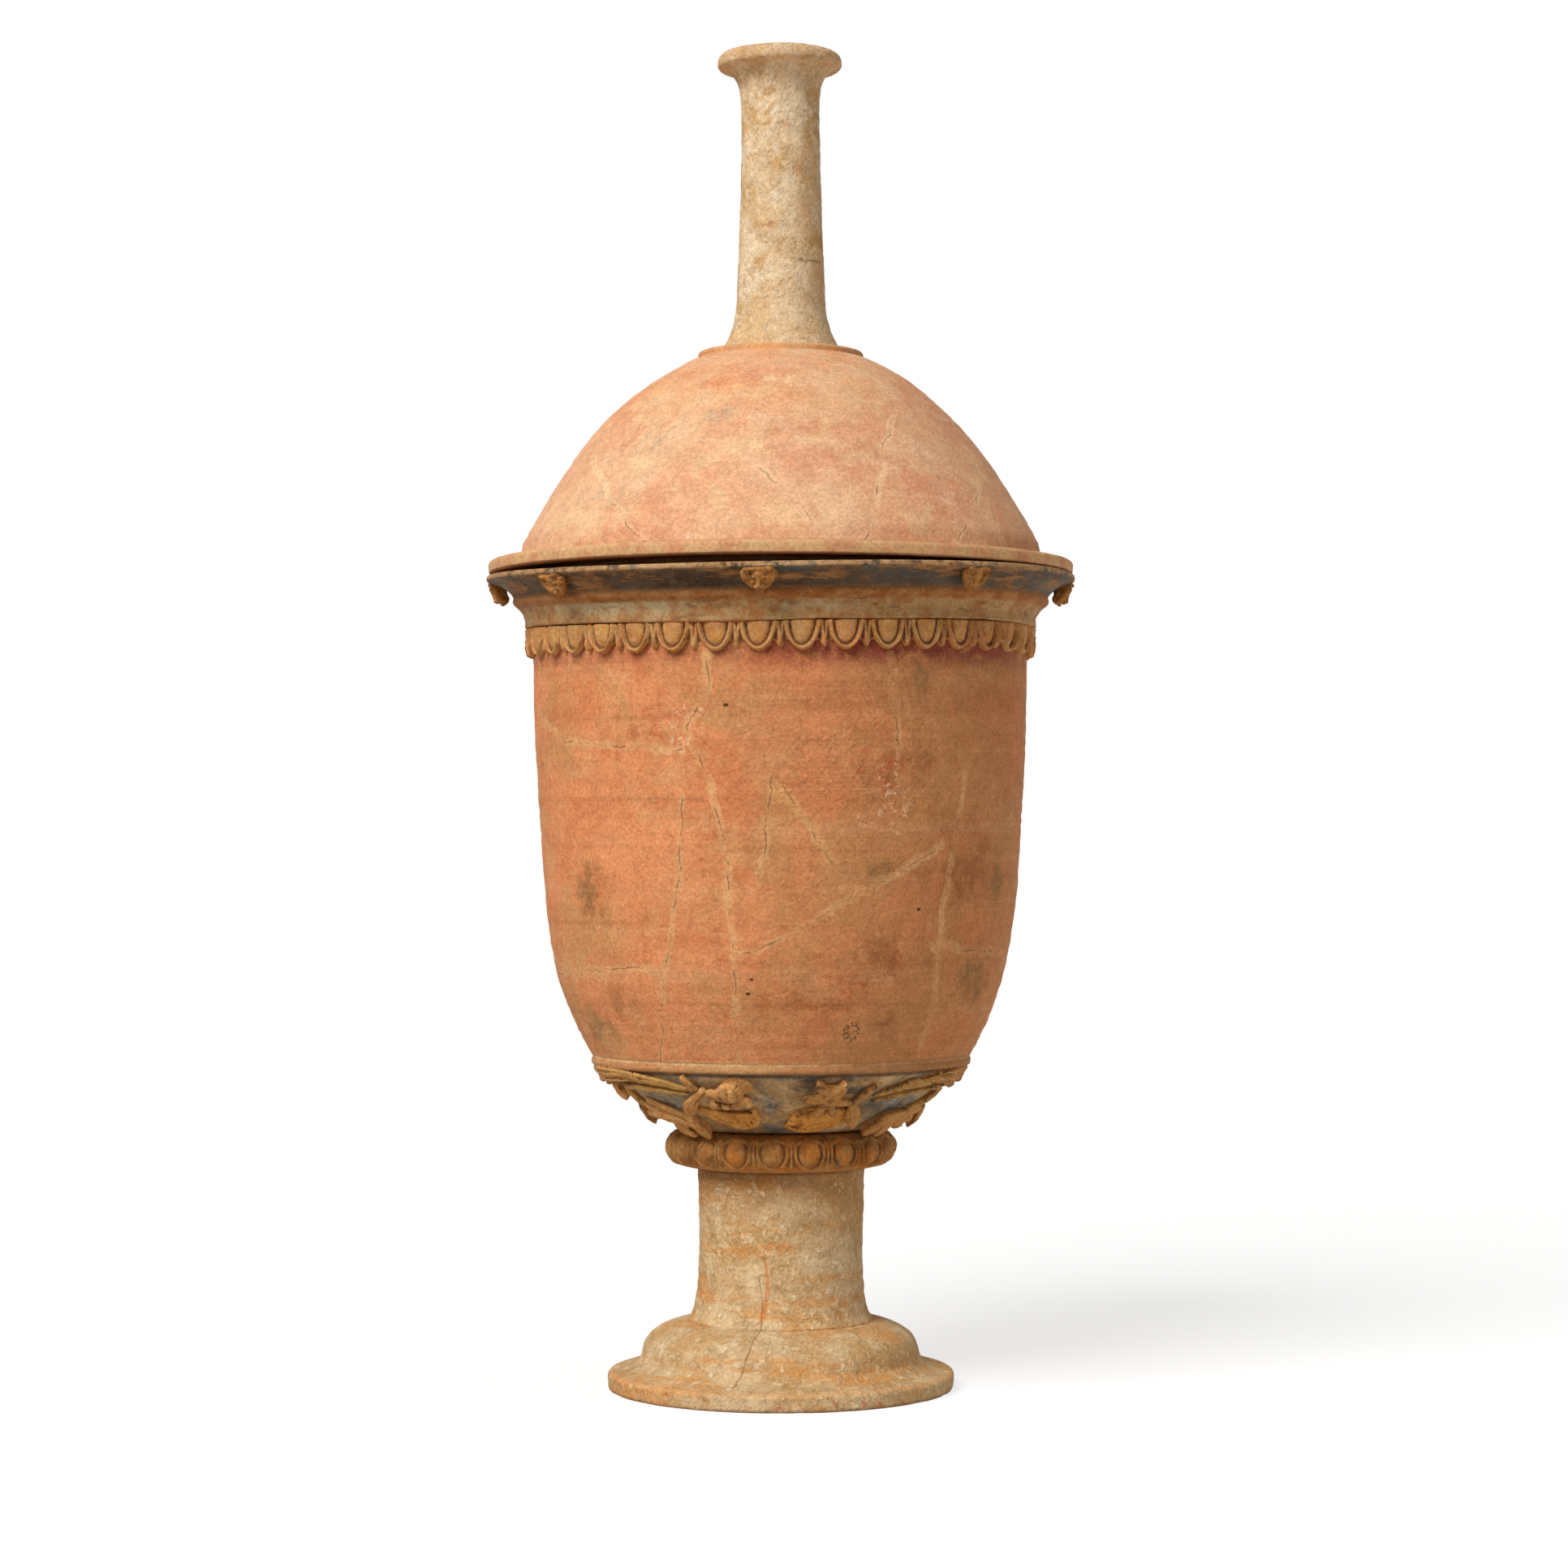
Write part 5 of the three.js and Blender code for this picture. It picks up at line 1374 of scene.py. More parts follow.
# Lion heads
def model_head(seed):
    """A small worn lion's mask, broad above: mane swept up and out, brow, nose, muzzle."""
    dice = random.Random(seed)
    clay = bmesh.new()
    pinch(clay, (0, 4.2, -0.4), (8.6, 3.8, 2.4))
    pinch(clay, (0, 0.6, 0.2), (6.6, 5.2, 2.8))
    pinch(clay, (0, -3.4, 1.0), (4.2, 3.8, 2.8))
    for side in (-1, 1):
        for mane in (
            ((3.2, -4.4, 1.4, 1.3), (5.6, -0.6, 1.7, 1.6), (7.9, 4.6, 1.2, 1.7)),
            ((3.8, -0.6, 2.2, 1.2), (5.6, 3.2, 2.0, 1.3), (6.6, 6.6, 1.2, 1.2)),
        ):
            roll(clay, [(side * x, *rest) for x, *rest in mane])
        pinch(clay, (side * 2.2, 2.5, 2.7), (2.0, 1.0, 1.0), side * -14)
        pinch(clay, (side * 2.9, -1.0, 2.3), (1.8, 2.2, 1.6), side * 18)
        pinch(clay, (side * 1.3, -3.3, 3.4), (1.7, 1.5, 1.5))
    roll(clay, [
        (x, 6.6 + dice.uniform(-0.4, 0.5), 1.9 + dice.uniform(-0.4, 0.4), 1.3)
        for x in (-6.4, -2.4, 2.0, 6.0)
    ])
    pinch(clay, (0, 4.2, 2.6), (2.8, 1.9, 1.3))
    roll(clay, [(0, 3.2, 3.0, 1.1), (0, 0.6, 3.5, 1.1), (0, -2.0, 4.2, 1.3)])
    pinch(clay, (0, -5.6, 2.2), (2.3, 1.4, 1.5))
    head = fused(clay, 0.36, 3)
    for side in (-1, 1):
        scooped(head, (side * 2.3, 1.0), (1.5, 1.0), side * 10, 0.4)
        creased(head, [(side * 0.1, -4.6), (side * 1.6, -4.4), (side * 2.8, -3.4)], 0.45, 0.4)
        for reach in (side * 3.6, side * 4.9, side * 6.2):
            creased(head, [(reach * 0.8, -2.4), (reach, 1.6), (reach * 1.18, 5.8)], 0.4, 0.5)
    return head


def make_heads(paint):
    out_from = (FLARE_RADIUS + RIM_RADIUS) / 2
    middle = (FLARE_BASE + LIP_BASE) / 2
    tilt = math.radians(LION_TILT)
    for number, azimuth in enumerate(LION_AZIMUTHS, 1):
        theta = math.radians(azimuth)
        sunk = dip(theta)

        def place(across, along, lift):
            outward = out_from + lift * math.cos(tilt) + along * math.sin(tilt)
            height = middle - lift * math.sin(tilt) + along * math.cos(tilt) - sunk
            flat = across * math.cos(theta) + outward * math.sin(theta)
            return Vector((flat, across * math.sin(theta) - outward * math.cos(theta), height))

        head = model_head(number)
        bmesh.ops.scale(head, vec=LION_SCALE, verts=head.verts)
        weathered(head, 0.5, number * 3.1)
        laid(head, place, -7.0)
        cut_off(head, LID_BASE - 0.9 - sunk, 1)
        finished(
            f"lion_head_{number}_modelled", head, "vessel", (paint,), f"lion_head_{number}",
            crests=(10, 0.45),
        )


# The cone under the bowl, where the scroll reliefs lie: slope in millimetres up it from its neck
def measure_cone():
    points = cone_outline(60)
    slopes = [0.0]
    for (r0, z0), (r1, z1) in zip(points, points[1:]):
        slopes.append(slopes[-1] + math.hypot(r1 - r0, z1 - z0))
    return points, slopes


CONE_POINTS, CONE_SLOPES = measure_cone()


def cone_place(slope, lift=0.0):
    """Radius and height of a point this far up the cone and this far out of it."""
    index = min(max(bisect.bisect(CONE_SLOPES, slope) - 1, 0), len(CONE_SLOPES) - 2)
    (r0, z0), (r1, z1) = CONE_POINTS[index], CONE_POINTS[index + 1]
    length = CONE_SLOPES[index + 1] - CONE_SLOPES[index]
    share = (slope - CONE_SLOPES[index]) / length
    dr, dz = (r1 - r0) / length, (z1 - z0) / length
    return r0 + (r1 - r0) * share + dz * lift, z0 + (z1 - z0) * share - dr * lift


def on_cone(azimuth, slope, start, sign):
    """Where the points of a board go whose middle lies at this place, in a quarter that starts at start."""
    reach = cone_place(slope)[0]

    def place(sideways, up, lift):
        turn = start + sign * (math.radians(azimuth) + sideways / reach)
        radius, height = cone_place(slope + up, lift)
        return Vector((radius * math.sin(turn), -radius * math.cos(turn), height))

    return place


def board(azimuth, slope, points):
    """Points given as (azimuth, slope, height, half width) on the cone, moved to the board laid there."""
    reach = math.radians(cone_place(slope)[0])
    return [((a - azimuth) * reach, s - slope, *rest) for a, s, *rest in points]


def strip(clay, points, thick=1.1):
    """A petal or a stem laid along points (x, y, height, half width): a flat top on a narrower base."""
    last = None
    for x, y, height, half in smooth_path(points):
        at = Vector((x, y, 0))
        if last is not None and (at - last).length < half * 0.35:
            continue
        last = at
        pinch(clay, (x, y, height - thick), (half, half, thick))
        pinch(clay, (x, y, height * 0.5 - 1.2), (half * 0.74, half * 0.74, height * 0.5 + 0.9))


def modelled(lumps=(), strips=(), scoops=(), creases=(), smoothing=2, thick=1.1):
    """One relief: lumps and strips fused, then marked by thumb and tool; the rows are the tools' own."""
    clay = bmesh.new()
    for lump in lumps:
        pinch(clay, *lump)
    for points in strips:
        strip(clay, points, thick)
    relief = fused(clay, CLAY_VOXEL, smoothing)
    for scoop in scoops:
        scooped(relief, *scoop)
    for width, depth, *lines in creases:
        for line in lines:
            creased(relief, line, width, depth)
    return relief


def model_right_flower():
    """A worn star: two long horns with a hollow between them above, three blunt petals below."""
    return modelled(
        lumps=[((-0.5, -0.6, 0.8), (7.0, 6.4, 3.5))],
        strips=(
            [(-1.6, 1.5, 4.3, 3.0), (-4.8, 7.0, 4.9, 3.0), (-7.0, 10.6, 5.4, 1.9), (-8.8, 13.4, 5.8, 0.8)],
            [(1.0, 1.5, 4.3, 3.0), (2.6, 7.0, 4.9, 2.9), (3.4, 10.4, 5.4, 1.9), (4.0, 13.0, 5.8, 0.8)],
            [(-3.2, 6.4, 3.0, 3.6), (1.0, 6.4, 3.0, 3.4)],
            [(-2.6, -0.2, 4.2, 2.6), (-8.4, -0.6, 3.9, 2.9), (-12.8, -0.9, 3.2, 1.3)],
            [(2.6, -1.0, 4.2, 2.8), (7.2, -2.6, 3.9, 3.1), (11.6, -4.1, 3.2, 1.7)],
            [(-1.6, -3.0, 4.4, 2.3), (-4.0, -8.0, 4.8, 2.7), (-5.6, -12.2, 4.6, 1.2)],
            [(1.2, -3.0, 4.6, 2.3), (2.8, -7.6, 5.2, 2.9), (4.0, -11.2, 5.0, 1.9)],
        ),
        scoops=(
            ((-2.0, 8.6), (4.0, 4.6), 0, 2.4, 1.0), ((-9.0, -0.6), (3.6, 1.8), 0, 0.8),
            ((8.2, -2.9), (3.4, 1.8), -18, 0.8), ((-4.4, -9.0), (1.6, 3.2), -20, 0.7),
            ((3.2, -8.6), (1.7, 3.0), 18, 0.7), ((-0.4, 0.4), (1.4, 1.1), 0, 2.6),
        ),
        creases=(
            (0.7, 1.3, [(-3.6, -2.6), (-5.6, -3.8), (-7.4, -5.6)], [(3.0, -3.4), (4.6, -5.0), (6.4, -7.4)]),
            (0.7, 1.5, [(-0.5, -3.4), (-0.8, -7.0), (-1.0, -11.0)]),
            (0.7, 1.2, [(-4.6, 2.2), (-7.4, 3.6), (-10.0, 5.0)], [(3.6, 1.4), (6.2, 3.4), (8.6, 5.4)]),
            (0.6, 0.7, [(-2.4, 2.6), (-0.2, 2.0), (2.0, 2.4)]),
        ),
    )


def model_left_flower():
    """A knotty bloom: a high dome on a low disc, a horn, two blunt petals and a small boss below."""
    flower = modelled(
        lumps=(
            ((-4.6, 6.0, -0.3), (8.2, 7.4, 2.4)), ((0.3, -0.4, 0.8), (9.2, 7.0, 4.0)),
            ((-0.8, 4.8, 2.8), (6.2, 6.6, 4.6)), ((-4.4, 3.4, 3.0), (3.4, 4.4, 3.0), 10),
            ((-2.8, 5.6, 6.0), (1.9, 4.6, 1.7), 8), ((1.2, 6.4, 5.6), (1.6, 4.4, 1.6), -14),
            ((4.4, 2.6, 3.4), (3.6, 4.2, 2.2), -30), ((6.6, 4.6, 3.8), (4.2, 2.6, 2.2), 38),
            ((-7.2, -1.4, 3.4), (4.0, 3.4, 2.5), 18), ((-9.0, -2.8, 3.9), (2.6, 2.4, 2.1), 30),
            ((7.8, -4.2, 3.1), (4.0, 3.0, 2.6), -20), ((10.2, -5.4, 2.9), (2.4, 2.2, 2.2)),
            ((2.0, -4.2, 4.0), (3.5, 2.5, 2.4)), ((-2.6, -4.6, 3.4), (2.6, 2.2, 2.2)),
        ),
        creases=(
            (0.6, 0.45, [(-0.7, 1.6), (-0.9, 5.4), (-0.8, 9.8)], [(-5.0, 1.0), (-5.4, 4.6), (-4.9, 9.0)]),
            (0.6, 0.6, [(3.4, 1.0), (3.4, 4.6), (2.6, 8.6)]),
            (
                0.6, 1.0, [(-5.0, -0.8), (-0.6, -1.6), (4.6, -1.6), (8.8, -1.0)],
                [(-0.9, -7.0), (-0.6, -4.8), (-0.2, -2.6)], [(5.4, -2.4), (5.2, -4.6), (4.4, -7.0)],
            ),
        ),
    )
    scooped(flower, (-5.2, -6.0), (1.3, 1.0), 0, 2.4)
    return flower


def model_right_boat_leaf():
    """A shell-shaped leaf, hollow in the middle, with a knot of small petals at its root."""
    knot = (
        (-13.6, -2.6, 3.4, 3.0, 30), (-9.6, -5.6, 3.8, 3.2, 60), (-12.4, 1.2, 2.9, 2.6, 0),
        (-7.6, -2.0, 3.2, 2.8, 40), (-15.8, -5.4, 3.0, 2.2, 80), (-5.4, -6.6, 3.4, 2.6, 70),
    )
    ribs = []
    for x, y in ((-3.0, -1.0), (0.5, 0.2), (4.0, 1.2), (7.5, 2.4)):
        ribs.append((0.5, 0.45, [(x, y), (x + 2.4, y - 2.2), (x + 3.4, y - 4.6)]))
        ribs.append((0.5, 0.4, [(x, y + 1.0), (x + 3.0, y + 2.2), (x + 5.4, y + 4.6)]))
    return modelled(
        lumps=[((0.6, 0.6, 0.4), (14.6, 8.2, 2.9), 21)] + [
            ((x, y, height - 1.6), (size, size * 0.62, 1.7), turn) for x, y, height, size, turn in knot
        ],
        strips=(
            [
                (-15.2, -6.4, 2.4, 1.4), (-10.4, -8.8, 2.9, 1.5), (-5.4, -9.0, 3.4, 1.6),
                (1.0, -7.0, 3.7, 1.6), (6.2, -5.0, 3.4, 1.6), (11.0, -2.8, 2.9, 1.5),
                (14.6, 0.0, 2.5, 1.4), (14.4, 5.0, 2.2, 1.2), (11.0, 9.6, 2.0, 1.0),
            ],
            [(-14.4, -1.0, 1.8, 1.2), (-11.0, 6.4, 1.8, 1.2), (-5.0, 9.8, 1.5, 1.2), (2.0, 11.0, 1.4, 1.0)],
        ),
        scoops=[((3.4, 1.6), (9.0, 4.8), 21, 0.7)],
        creases=ribs + [
            (0.6, 0.5, [(-6.0, -2.4), (2.0, 0.4), (11.0, 3.8)]),
            (0.7, 1.3, [(-11.6, -4.4), (-9.6, -2.6), (-9.0, 0.6)]),
            (0.6, 1.1, [(-14.6, -4.4), (-12.4, -4.6), (-11.4, -7.6)]),
        ],
    )


def model_left_boat_leaf():
    """A long leaf like a boat, broad and round towards the front, pointed towards the side."""
    clay = bmesh.new()
    strip(clay, [
        (16.2, 7.6, 1.4, 1.0), (11.0, 4.2, 2.4, 2.8), (5.0, 0.8, 3.2, 4.8), (-1.6, -0.8, 3.6, 6.0),
        (-7.6, -0.8, 3.6, 6.2), (-9.6, -0.2, 3.3, 5.0),
    ], 1.6)
    strip(clay, [
        (15.6, 7.0, 2.0, 1.0), (10.2, 1.6, 3.0, 1.3), (5.4, -2.8, 3.6, 1.5), (-1.6, -5.8, 4.0, 1.6),
        (-8.0, -6.6, 4.4, 1.7), (-12.4, -3.6, 4.1, 1.6), (-13.9, 1.2, 3.4, 1.4), (-12.4, 6.2, 2.4, 1.1),
    ])
    leaf = fused(clay, CLAY_VOXEL, 2)
    scooped(leaf, (-5.8, -0.6), (7.4, 4.2), 4, 0.5)
    creased(leaf, [(13.0, 4.6), (6.0, 0.4), (-3.0, -2.8), (-11.0, -2.6)], 0.5, 0.35)
    for x in (-10, -6.5, -3, 0.5, 4.5):
        creased(leaf, [(x, -1.8 + x * 0.1), (x - 2.0, -4.0 + x * 0.16)], 0.5, 0.3)
        creased(leaf, [(x, -0.6 + x * 0.16), (x - 2.0, 2.6 + x * 0.16)], 0.5, 0.3)
    return leaf


def model_right_drop_petal():
    outline = [
        (-4.4, 9.6, 2.4, 1.3), (-3.0, 6.2, 3.2, 2.8), (-1.6, 2.0, 4.2, 4.3), (1.0, -3.4, 4.8, 3.8),
        (3.2, -7.8, 5.2, 2.2), (3.8, -9.6, 5.2, 1.4),
    ]
    creases = (
        (0.8, 0.5, [(-3.4, 7.5), (-1.0, 0.5), (2.4, -7.0)]),
        (0.5, 0.3, [(-4.6, 4.0), (-2.6, -1.0), (0.6, -5.6)]),
    )
    return modelled(strips=[outline], creases=creases, smoothing=3, thick=1.5)


def model_left_drop_petal():
    outline = [
        (-8.6, 9.4, 3.4, 2.2), (-4.8, 5.6, 4.4, 2.5), (0.0, 1.0, 5.0, 3.3), (3.4, -3.0, 5.2, 4.2),
        (5.2, -6.0, 5.2, 3.6),
    ]
    creases = (
        (0.6, 0.9, [(-9.4, 8.4), (-5.4, 4.8), (-1.0, 0.2)]),
        (0.5, 0.4, [(-6.4, 8.4), (-1.4, 3.4), (3.0, -2.0)], [(2.0, -6.8), (4.0, -4.2)]),
    )
    knot = ((-9.6, 7.4, 1.4), (2.4, 2.2, 1.9))
    return modelled([knot], [outline], creases=creases, smoothing=3, thick=2.2)


def model_knob():
    """A small worn drop of clay that hangs straight down from under the ledge."""
    lumps = (
        ((0, 1.0, -0.4), (2.7, 2.6, 2.6)), ((0.2, -1.6, 1.2), (2.9, 2.7, 2.6)),
        ((-0.2, -3.7, 2.5), (2.5, 2.2, 2.3)),
    )
    creases = ((0.5, 0.6, [(-1.6, 1.6), (-1.4, -1.4), (-0.6, -4.2)]), (0.5, 0.4, [(1.6, 1.2), (1.8, -2.0)]))
    return modelled(lumps, creases=creases)


# Models whose points are placed on the cone: board brings each to the middle of its own relief
def model_small_leaf(middle, points):
    leaf = board(*middle, points)
    return modelled(strips=[leaf], creases=[(0.6, 0.5, leaf[:-1])], thick=1.3)


def model_leaf_tip(middle, points):
    leaf = board(*middle, points)
    return modelled(strips=[leaf], creases=[(0.5, 0.6, leaf)], thick=1.3)


def model_sheath(middle, tears):
    """The torn calyx round the scroll: striped leaves lying over one another, their tips to the front."""
    leaves = [board(*middle, points) for points in tears]
    creases = []
    for leaf in leaves:
        creases.append((0.5, 1.1, [(x, y - size * 0.95) for x, y, height, size in leaf]))
        for share in (-0.45, 0.05, 0.55):
            creases.append((0.35, 0.45, [(x, y + size * share) for x, y, height, size in leaf]))
    return modelled(strips=leaves, creases=creases, thick=1.3)


def model_upper_stem(middle, band, tube, groove):
    """A broad tapering band over a round one, with a dark groove between them."""
    band = board(*middle, band)
    clay = bmesh.new()
    strip(clay, band, 1.4)
    strip(clay, board(*middle, tube), 1.6)
    stem = fused(clay, CLAY_VOXEL, 2)
    creased(stem, board(*middle, groove), 0.6, 1.7)
    for share, depth in ((0.35, 0.4), (-0.3, 0.35)):
        creased(stem, [(x, y + size * share) for x, y, height, size in band], 0.45, depth)
    return stem


def model_lower_stem(middle, hairpin):
    stem = board(*middle, hairpin)
    creases = (
        (0.5, 0.5, [(x + size * 0.4, y) for x, y, height, size in stem[1:]]),
        (0.4, 0.35, [(x - size * 0.35, y) for x, y, height, size in stem[1:-1]]),
    )
    return modelled(strips=[stem], creases=creases, thick=1.6)


def model_cluster(middle, petals, lines):
    """Flat rounded petals laid over one another, with tooled lines between and along them."""
    petals = [board(*middle, points) for points in petals]
    broad = [[(x, y, height, half * 1.22) for x, y, height, half in petal] for petal in petals]
    creases = ((0.5, 0.35, *petals), (0.6, 0.6, *[board(*middle, line) for line in lines]))
    return modelled(strips=broad, creases=creases, smoothing=4, thick=1.8)


# Where the scrolls run: azimuth in degrees, mm up the slope, height and half width of the clay there
RIGHT_TEARS = (
    (
        (84, 53.6, 2.6, 3.0), (73, 54.0, 3.2, 3.0), (63, 53.8, 3.4, 2.6), (53, 52.2, 3.2, 1.6),
        (44, 49.4, 2.6, 0.7),
    ),
    ((84, 49.0, 3.2, 3.0), (74, 50.0, 3.9, 2.9), (65, 50.0, 4.0, 2.3), (56, 48.8, 3.4, 1.0)),
    ((82, 45.0, 3.4, 2.8), (74, 45.8, 4.0, 2.5), (66, 46.6, 4.0, 1.3)),
    ((83, 56.0, 1.4, 1.4), (70, 56.2, 2.2, 1.4), (57, 55.2, 2.0, 0.7)),
)
LEFT_TEARS = (
    (
        (83, 54.0, 2.6, 2.8), (73, 54.6, 3.2, 3.0), (62, 55.0, 3.4, 2.6), (54, 54.4, 3.2, 1.8),
        (46, 52.4, 2.8, 0.8),
    ),
    ((82, 50.0, 3.2, 2.8), (72, 51.0, 4.0, 2.8), (63, 51.6, 4.2, 2.4), (54, 50.4, 3.4, 1.0)),
    ((81, 46.4, 3.4, 2.4), (72, 48.0, 4.0, 2.3), (62, 49.4, 4.0, 1.4), (57, 49.0, 3.6, 0.8)),
    ((82, 56.4, 1.4, 1.3), (70, 56.8, 2.2, 1.4), (58, 57.0, 2.2, 1.2), (50, 55.6, 2.0, 0.7)),
)
RIGHT_STEMS = (
    (
        (68, 51.6, 2.7, 4.2), (60, 50.8, 2.8, 4.0), (52, 49.2, 2.8, 3.4), (44, 46.6, 2.7, 2.9),
        (38, 43.2, 2.4, 2.2), (34, 39.4, 1.5, 1.1),
    ),
    (
        (62.5, 44.6, 3.2, 1.9), (53.5, 43.4, 3.0, 1.9), (45.5, 41.0, 2.9, 1.8), (39, 37.9, 2.5, 1.6),
        (35, 35.4, 1.6, 1.1),
    ),
    ((64, 46.8), (53, 45.6), (44, 42.9), (37.5, 39.5), (34.5, 37)),
)
LEFT_STEMS = (
    (
        (66, 53.2, 2.7, 4.2), (58, 53.4, 2.8, 4.0), (51, 52.8, 2.8, 3.7), (45, 51.2, 2.8, 3.3),
        (39.5, 49.0, 2.5, 2.8), (34.5, 46.2, 2.1, 2.0), (30.5, 43.4, 1.4, 1.1),
    ),
    (
        (57, 45.8, 3.2, 1.9), (50.5, 44.8, 3.0, 1.9), (44.7, 44.2, 2.9, 1.8), (38.3, 43.0, 2.5, 1.6),
        (32.6, 41.2, 1.6, 1.1),
    ),
    ((58, 48.4), (52, 47.8), (45, 47.2), (38.5, 45.4), (32, 42.6)),
)
RIGHT_HAIRPIN = (
    (60.5, 44.4, 2.9, 1.8), (66.5, 43.4, 3.3, 2.1), (69.4, 39.4, 3.4, 2.5), (68, 34.5, 3.4, 3.0),
    (64.5, 29.5, 3.2, 3.2), (61.5, 25.0, 2.8, 2.8),
)
LEFT_HAIRPIN = (
    (55, 45.6, 2.9, 1.8), (60, 45.0, 3.3, 2.1), (62.6, 41.4, 3.4, 2.3), (63.2, 36.5, 3.4, 2.5),
    (62.8, 31.5, 3.2, 2.6), (60, 27.5, 2.8, 2.4),
)
RIGHT_CLUSTER = (
    (
        (78, 23.8, 3.2, 2.6), (70, 23.4, 3.4, 2.8), (62, 22.8, 3.6, 2.8), (54, 22.0, 3.8, 2.6),
        (47.5, 20.0, 3.6, 2.0),
    ),
    ((62, 22.0, 4.2, 2.6), (69, 19.6, 4.9, 2.7), (73.5, 17.6, 5.2, 2.0)),
    ((56, 20.0, 4.5, 3.0), (61.5, 17.0, 5.4, 3.5), (66.5, 14.8, 6.0, 2.8)),
    ((52.5, 18.0, 4.8, 3.0), (55, 13.0, 6.0, 3.5), (53, 9.6, 6.6, 2.8)),
    ((49, 20.0, 4.4, 2.4), (47.2, 15.8, 5.4, 3.4), (46.0, 11.8, 5.9, 3.2), (44.6, 8.4, 6.0, 1.3)),
)
RIGHT_CLUSTER_LINES = (
    ((51.8, 20), (51.0, 14), (49.6, 9.0)),
    ((56, 18.6), (58.4, 14), (58.6, 9.6)),
    ((61, 20), (66, 17.6), (71, 14.6)),
)
LEFT_CLUSTER = (
    (
        (56, 33.5, 2.6, 2.2), (52.4, 30, 3.2, 2.9), (48.4, 26, 3.6, 3.3), (43.2, 22, 3.8, 3.2),
        (38.5, 19.6, 3.8, 2.2),
    ),
    ((60.4, 28.5, 3.6, 2.4), (55.9, 25.2, 4.4, 3.0), (51, 21.6, 5.0, 3.4), (44.6, 18.6, 5.4, 3.2)),
    ((63.2, 24.8, 4.8, 1.8), (59, 25.6, 5.5, 2.3), (53, 24.6, 6.0, 2.3), (47.4, 20.4, 6.0, 1.8)),
    ((48, 18.0, 5.2, 3.4), (49.6, 13.0, 6.2, 3.7), (46.8, 9.8, 6.8, 2.8)),
    ((41.6, 20.4, 4.6, 2.8), (38.8, 16.6, 5.8, 2.9), (37.2, 12.4, 6.8, 2.5), (36.6, 8.4, 7.3, 1.3)),
)
LEFT_CLUSTER_LINES = (
    ((62, 27.2), (56, 27.6), (50, 24.0), (44, 19.6)),
    ((60, 23.6), (54, 22.0), (50, 19.0)),
    ((44.8, 19.6), (43.4, 15), (42.6, 10.4)),
    ((55, 31), (49, 27), (42, 21.6)),
)
RIGHT_TIP = ((79, 26.0, 3.2, 2.2), (80.6, 22.0, 5.2, 2.7), (80.8, 18.4, 6.8, 2.3), (80.2, 14.4, 7.4, 0.9))
LEFT_TIP = ((67, 48.6, 2.8, 1.8), (69, 44.6, 4.4, 2.6), (68.6, 40.6, 5.5, 2.4), (66.6, 38.2, 5.7, 1.2))
RIGHT_SMALL_LEAF = (
    (26.6, 36.0, 1.8, 1.3), (28.2, 39.5, 2.4, 2.0), (29.8, 44.0, 2.9, 2.0), (31.3, 48.6, 3.1, 0.8),
)
LEFT_SMALL_LEAF = (
    (27.9, 44.0, 2.0, 1.6), (29.0, 47.6, 2.8, 2.2), (29.9, 51.4, 3.3, 2.1), (30.7, 55.0, 3.3, 1.1),
)


# Each relief's place on the cone as (azimuth, slope), how it is modelled and what from
RIGHT_RELIEFS = {
    "flower": ((17, 40), model_right_flower),
    "boat_leaf": ((16, 20), model_right_boat_leaf),
    "drop_petal": ((29.5, 25.5), model_right_drop_petal),
    "small_leaf": ((29.5, 43), model_small_leaf, RIGHT_SMALL_LEAF),
    "calyx_sheath": ((62, 52.5), model_sheath, RIGHT_TEARS),
    "upper_stem": ((49, 46), model_upper_stem, *RIGHT_STEMS),
    "lower_stem": ((66, 34), model_lower_stem, RIGHT_HAIRPIN),
    "lower_flower": ((57.5, 14.5), model_cluster, RIGHT_CLUSTER, RIGHT_CLUSTER_LINES),
    "leaf_tip": ((77, 20.5), model_leaf_tip, RIGHT_TIP),
}
LEFT_RELIEFS = {
    "flower": ((17, 41), model_left_flower),
    "boat_leaf": ((20.5, 23), model_left_boat_leaf),
    "drop_petal": ((32, 35.5), model_left_drop_petal),
    "small_leaf": ((30, 49.5), model_small_leaf, LEFT_SMALL_LEAF),
    "calyx_sheath": ((61, 54.5), model_sheath, LEFT_TEARS),
    "upper_stem": ((45.5, 48.5), model_upper_stem, *LEFT_STEMS),
    "lower_stem": ((62.5, 37), model_lower_stem, LEFT_HAIRPIN),
    "lower_flower": ((49, 18.5), model_cluster, LEFT_CLUSTER, LEFT_CLUSTER_LINES),
    "leaf_tip": ((71, 42), model_leaf_tip, LEFT_TIP),
}
RELIEF_PAINTS = {"boat_leaf": "orange", "upper_stem": "yellow", "lower_stem": "yellow"}
RELIEF_BACK = -2.5
KNOB_PLACE = (90, 52)

# Where each quarter starts, which way it runs from there, and its design
QUARTERS = {
    "front_right": (0.0, 1, RIGHT_RELIEFS),
    "front_left": (0.0, -1, LEFT_RELIEFS),
    "back_right": (math.pi, -1, LEFT_RELIEFS),
    "back_left": (math.pi, 1, RIGHT_RELIEFS),
}


def make_relief(name, clay, place, start, sign, paint, rough, seed):
    """Weathered, laid on the cone at its place in its quarter, and painted."""
    weathered(clay, rough, seed)
    laid(clay, on_cone(*place, start, sign), RELIEF_BACK)
    finished(f"{name}_modelled", clay, "vessel", (paint,), name, crests=(8, 0.4))


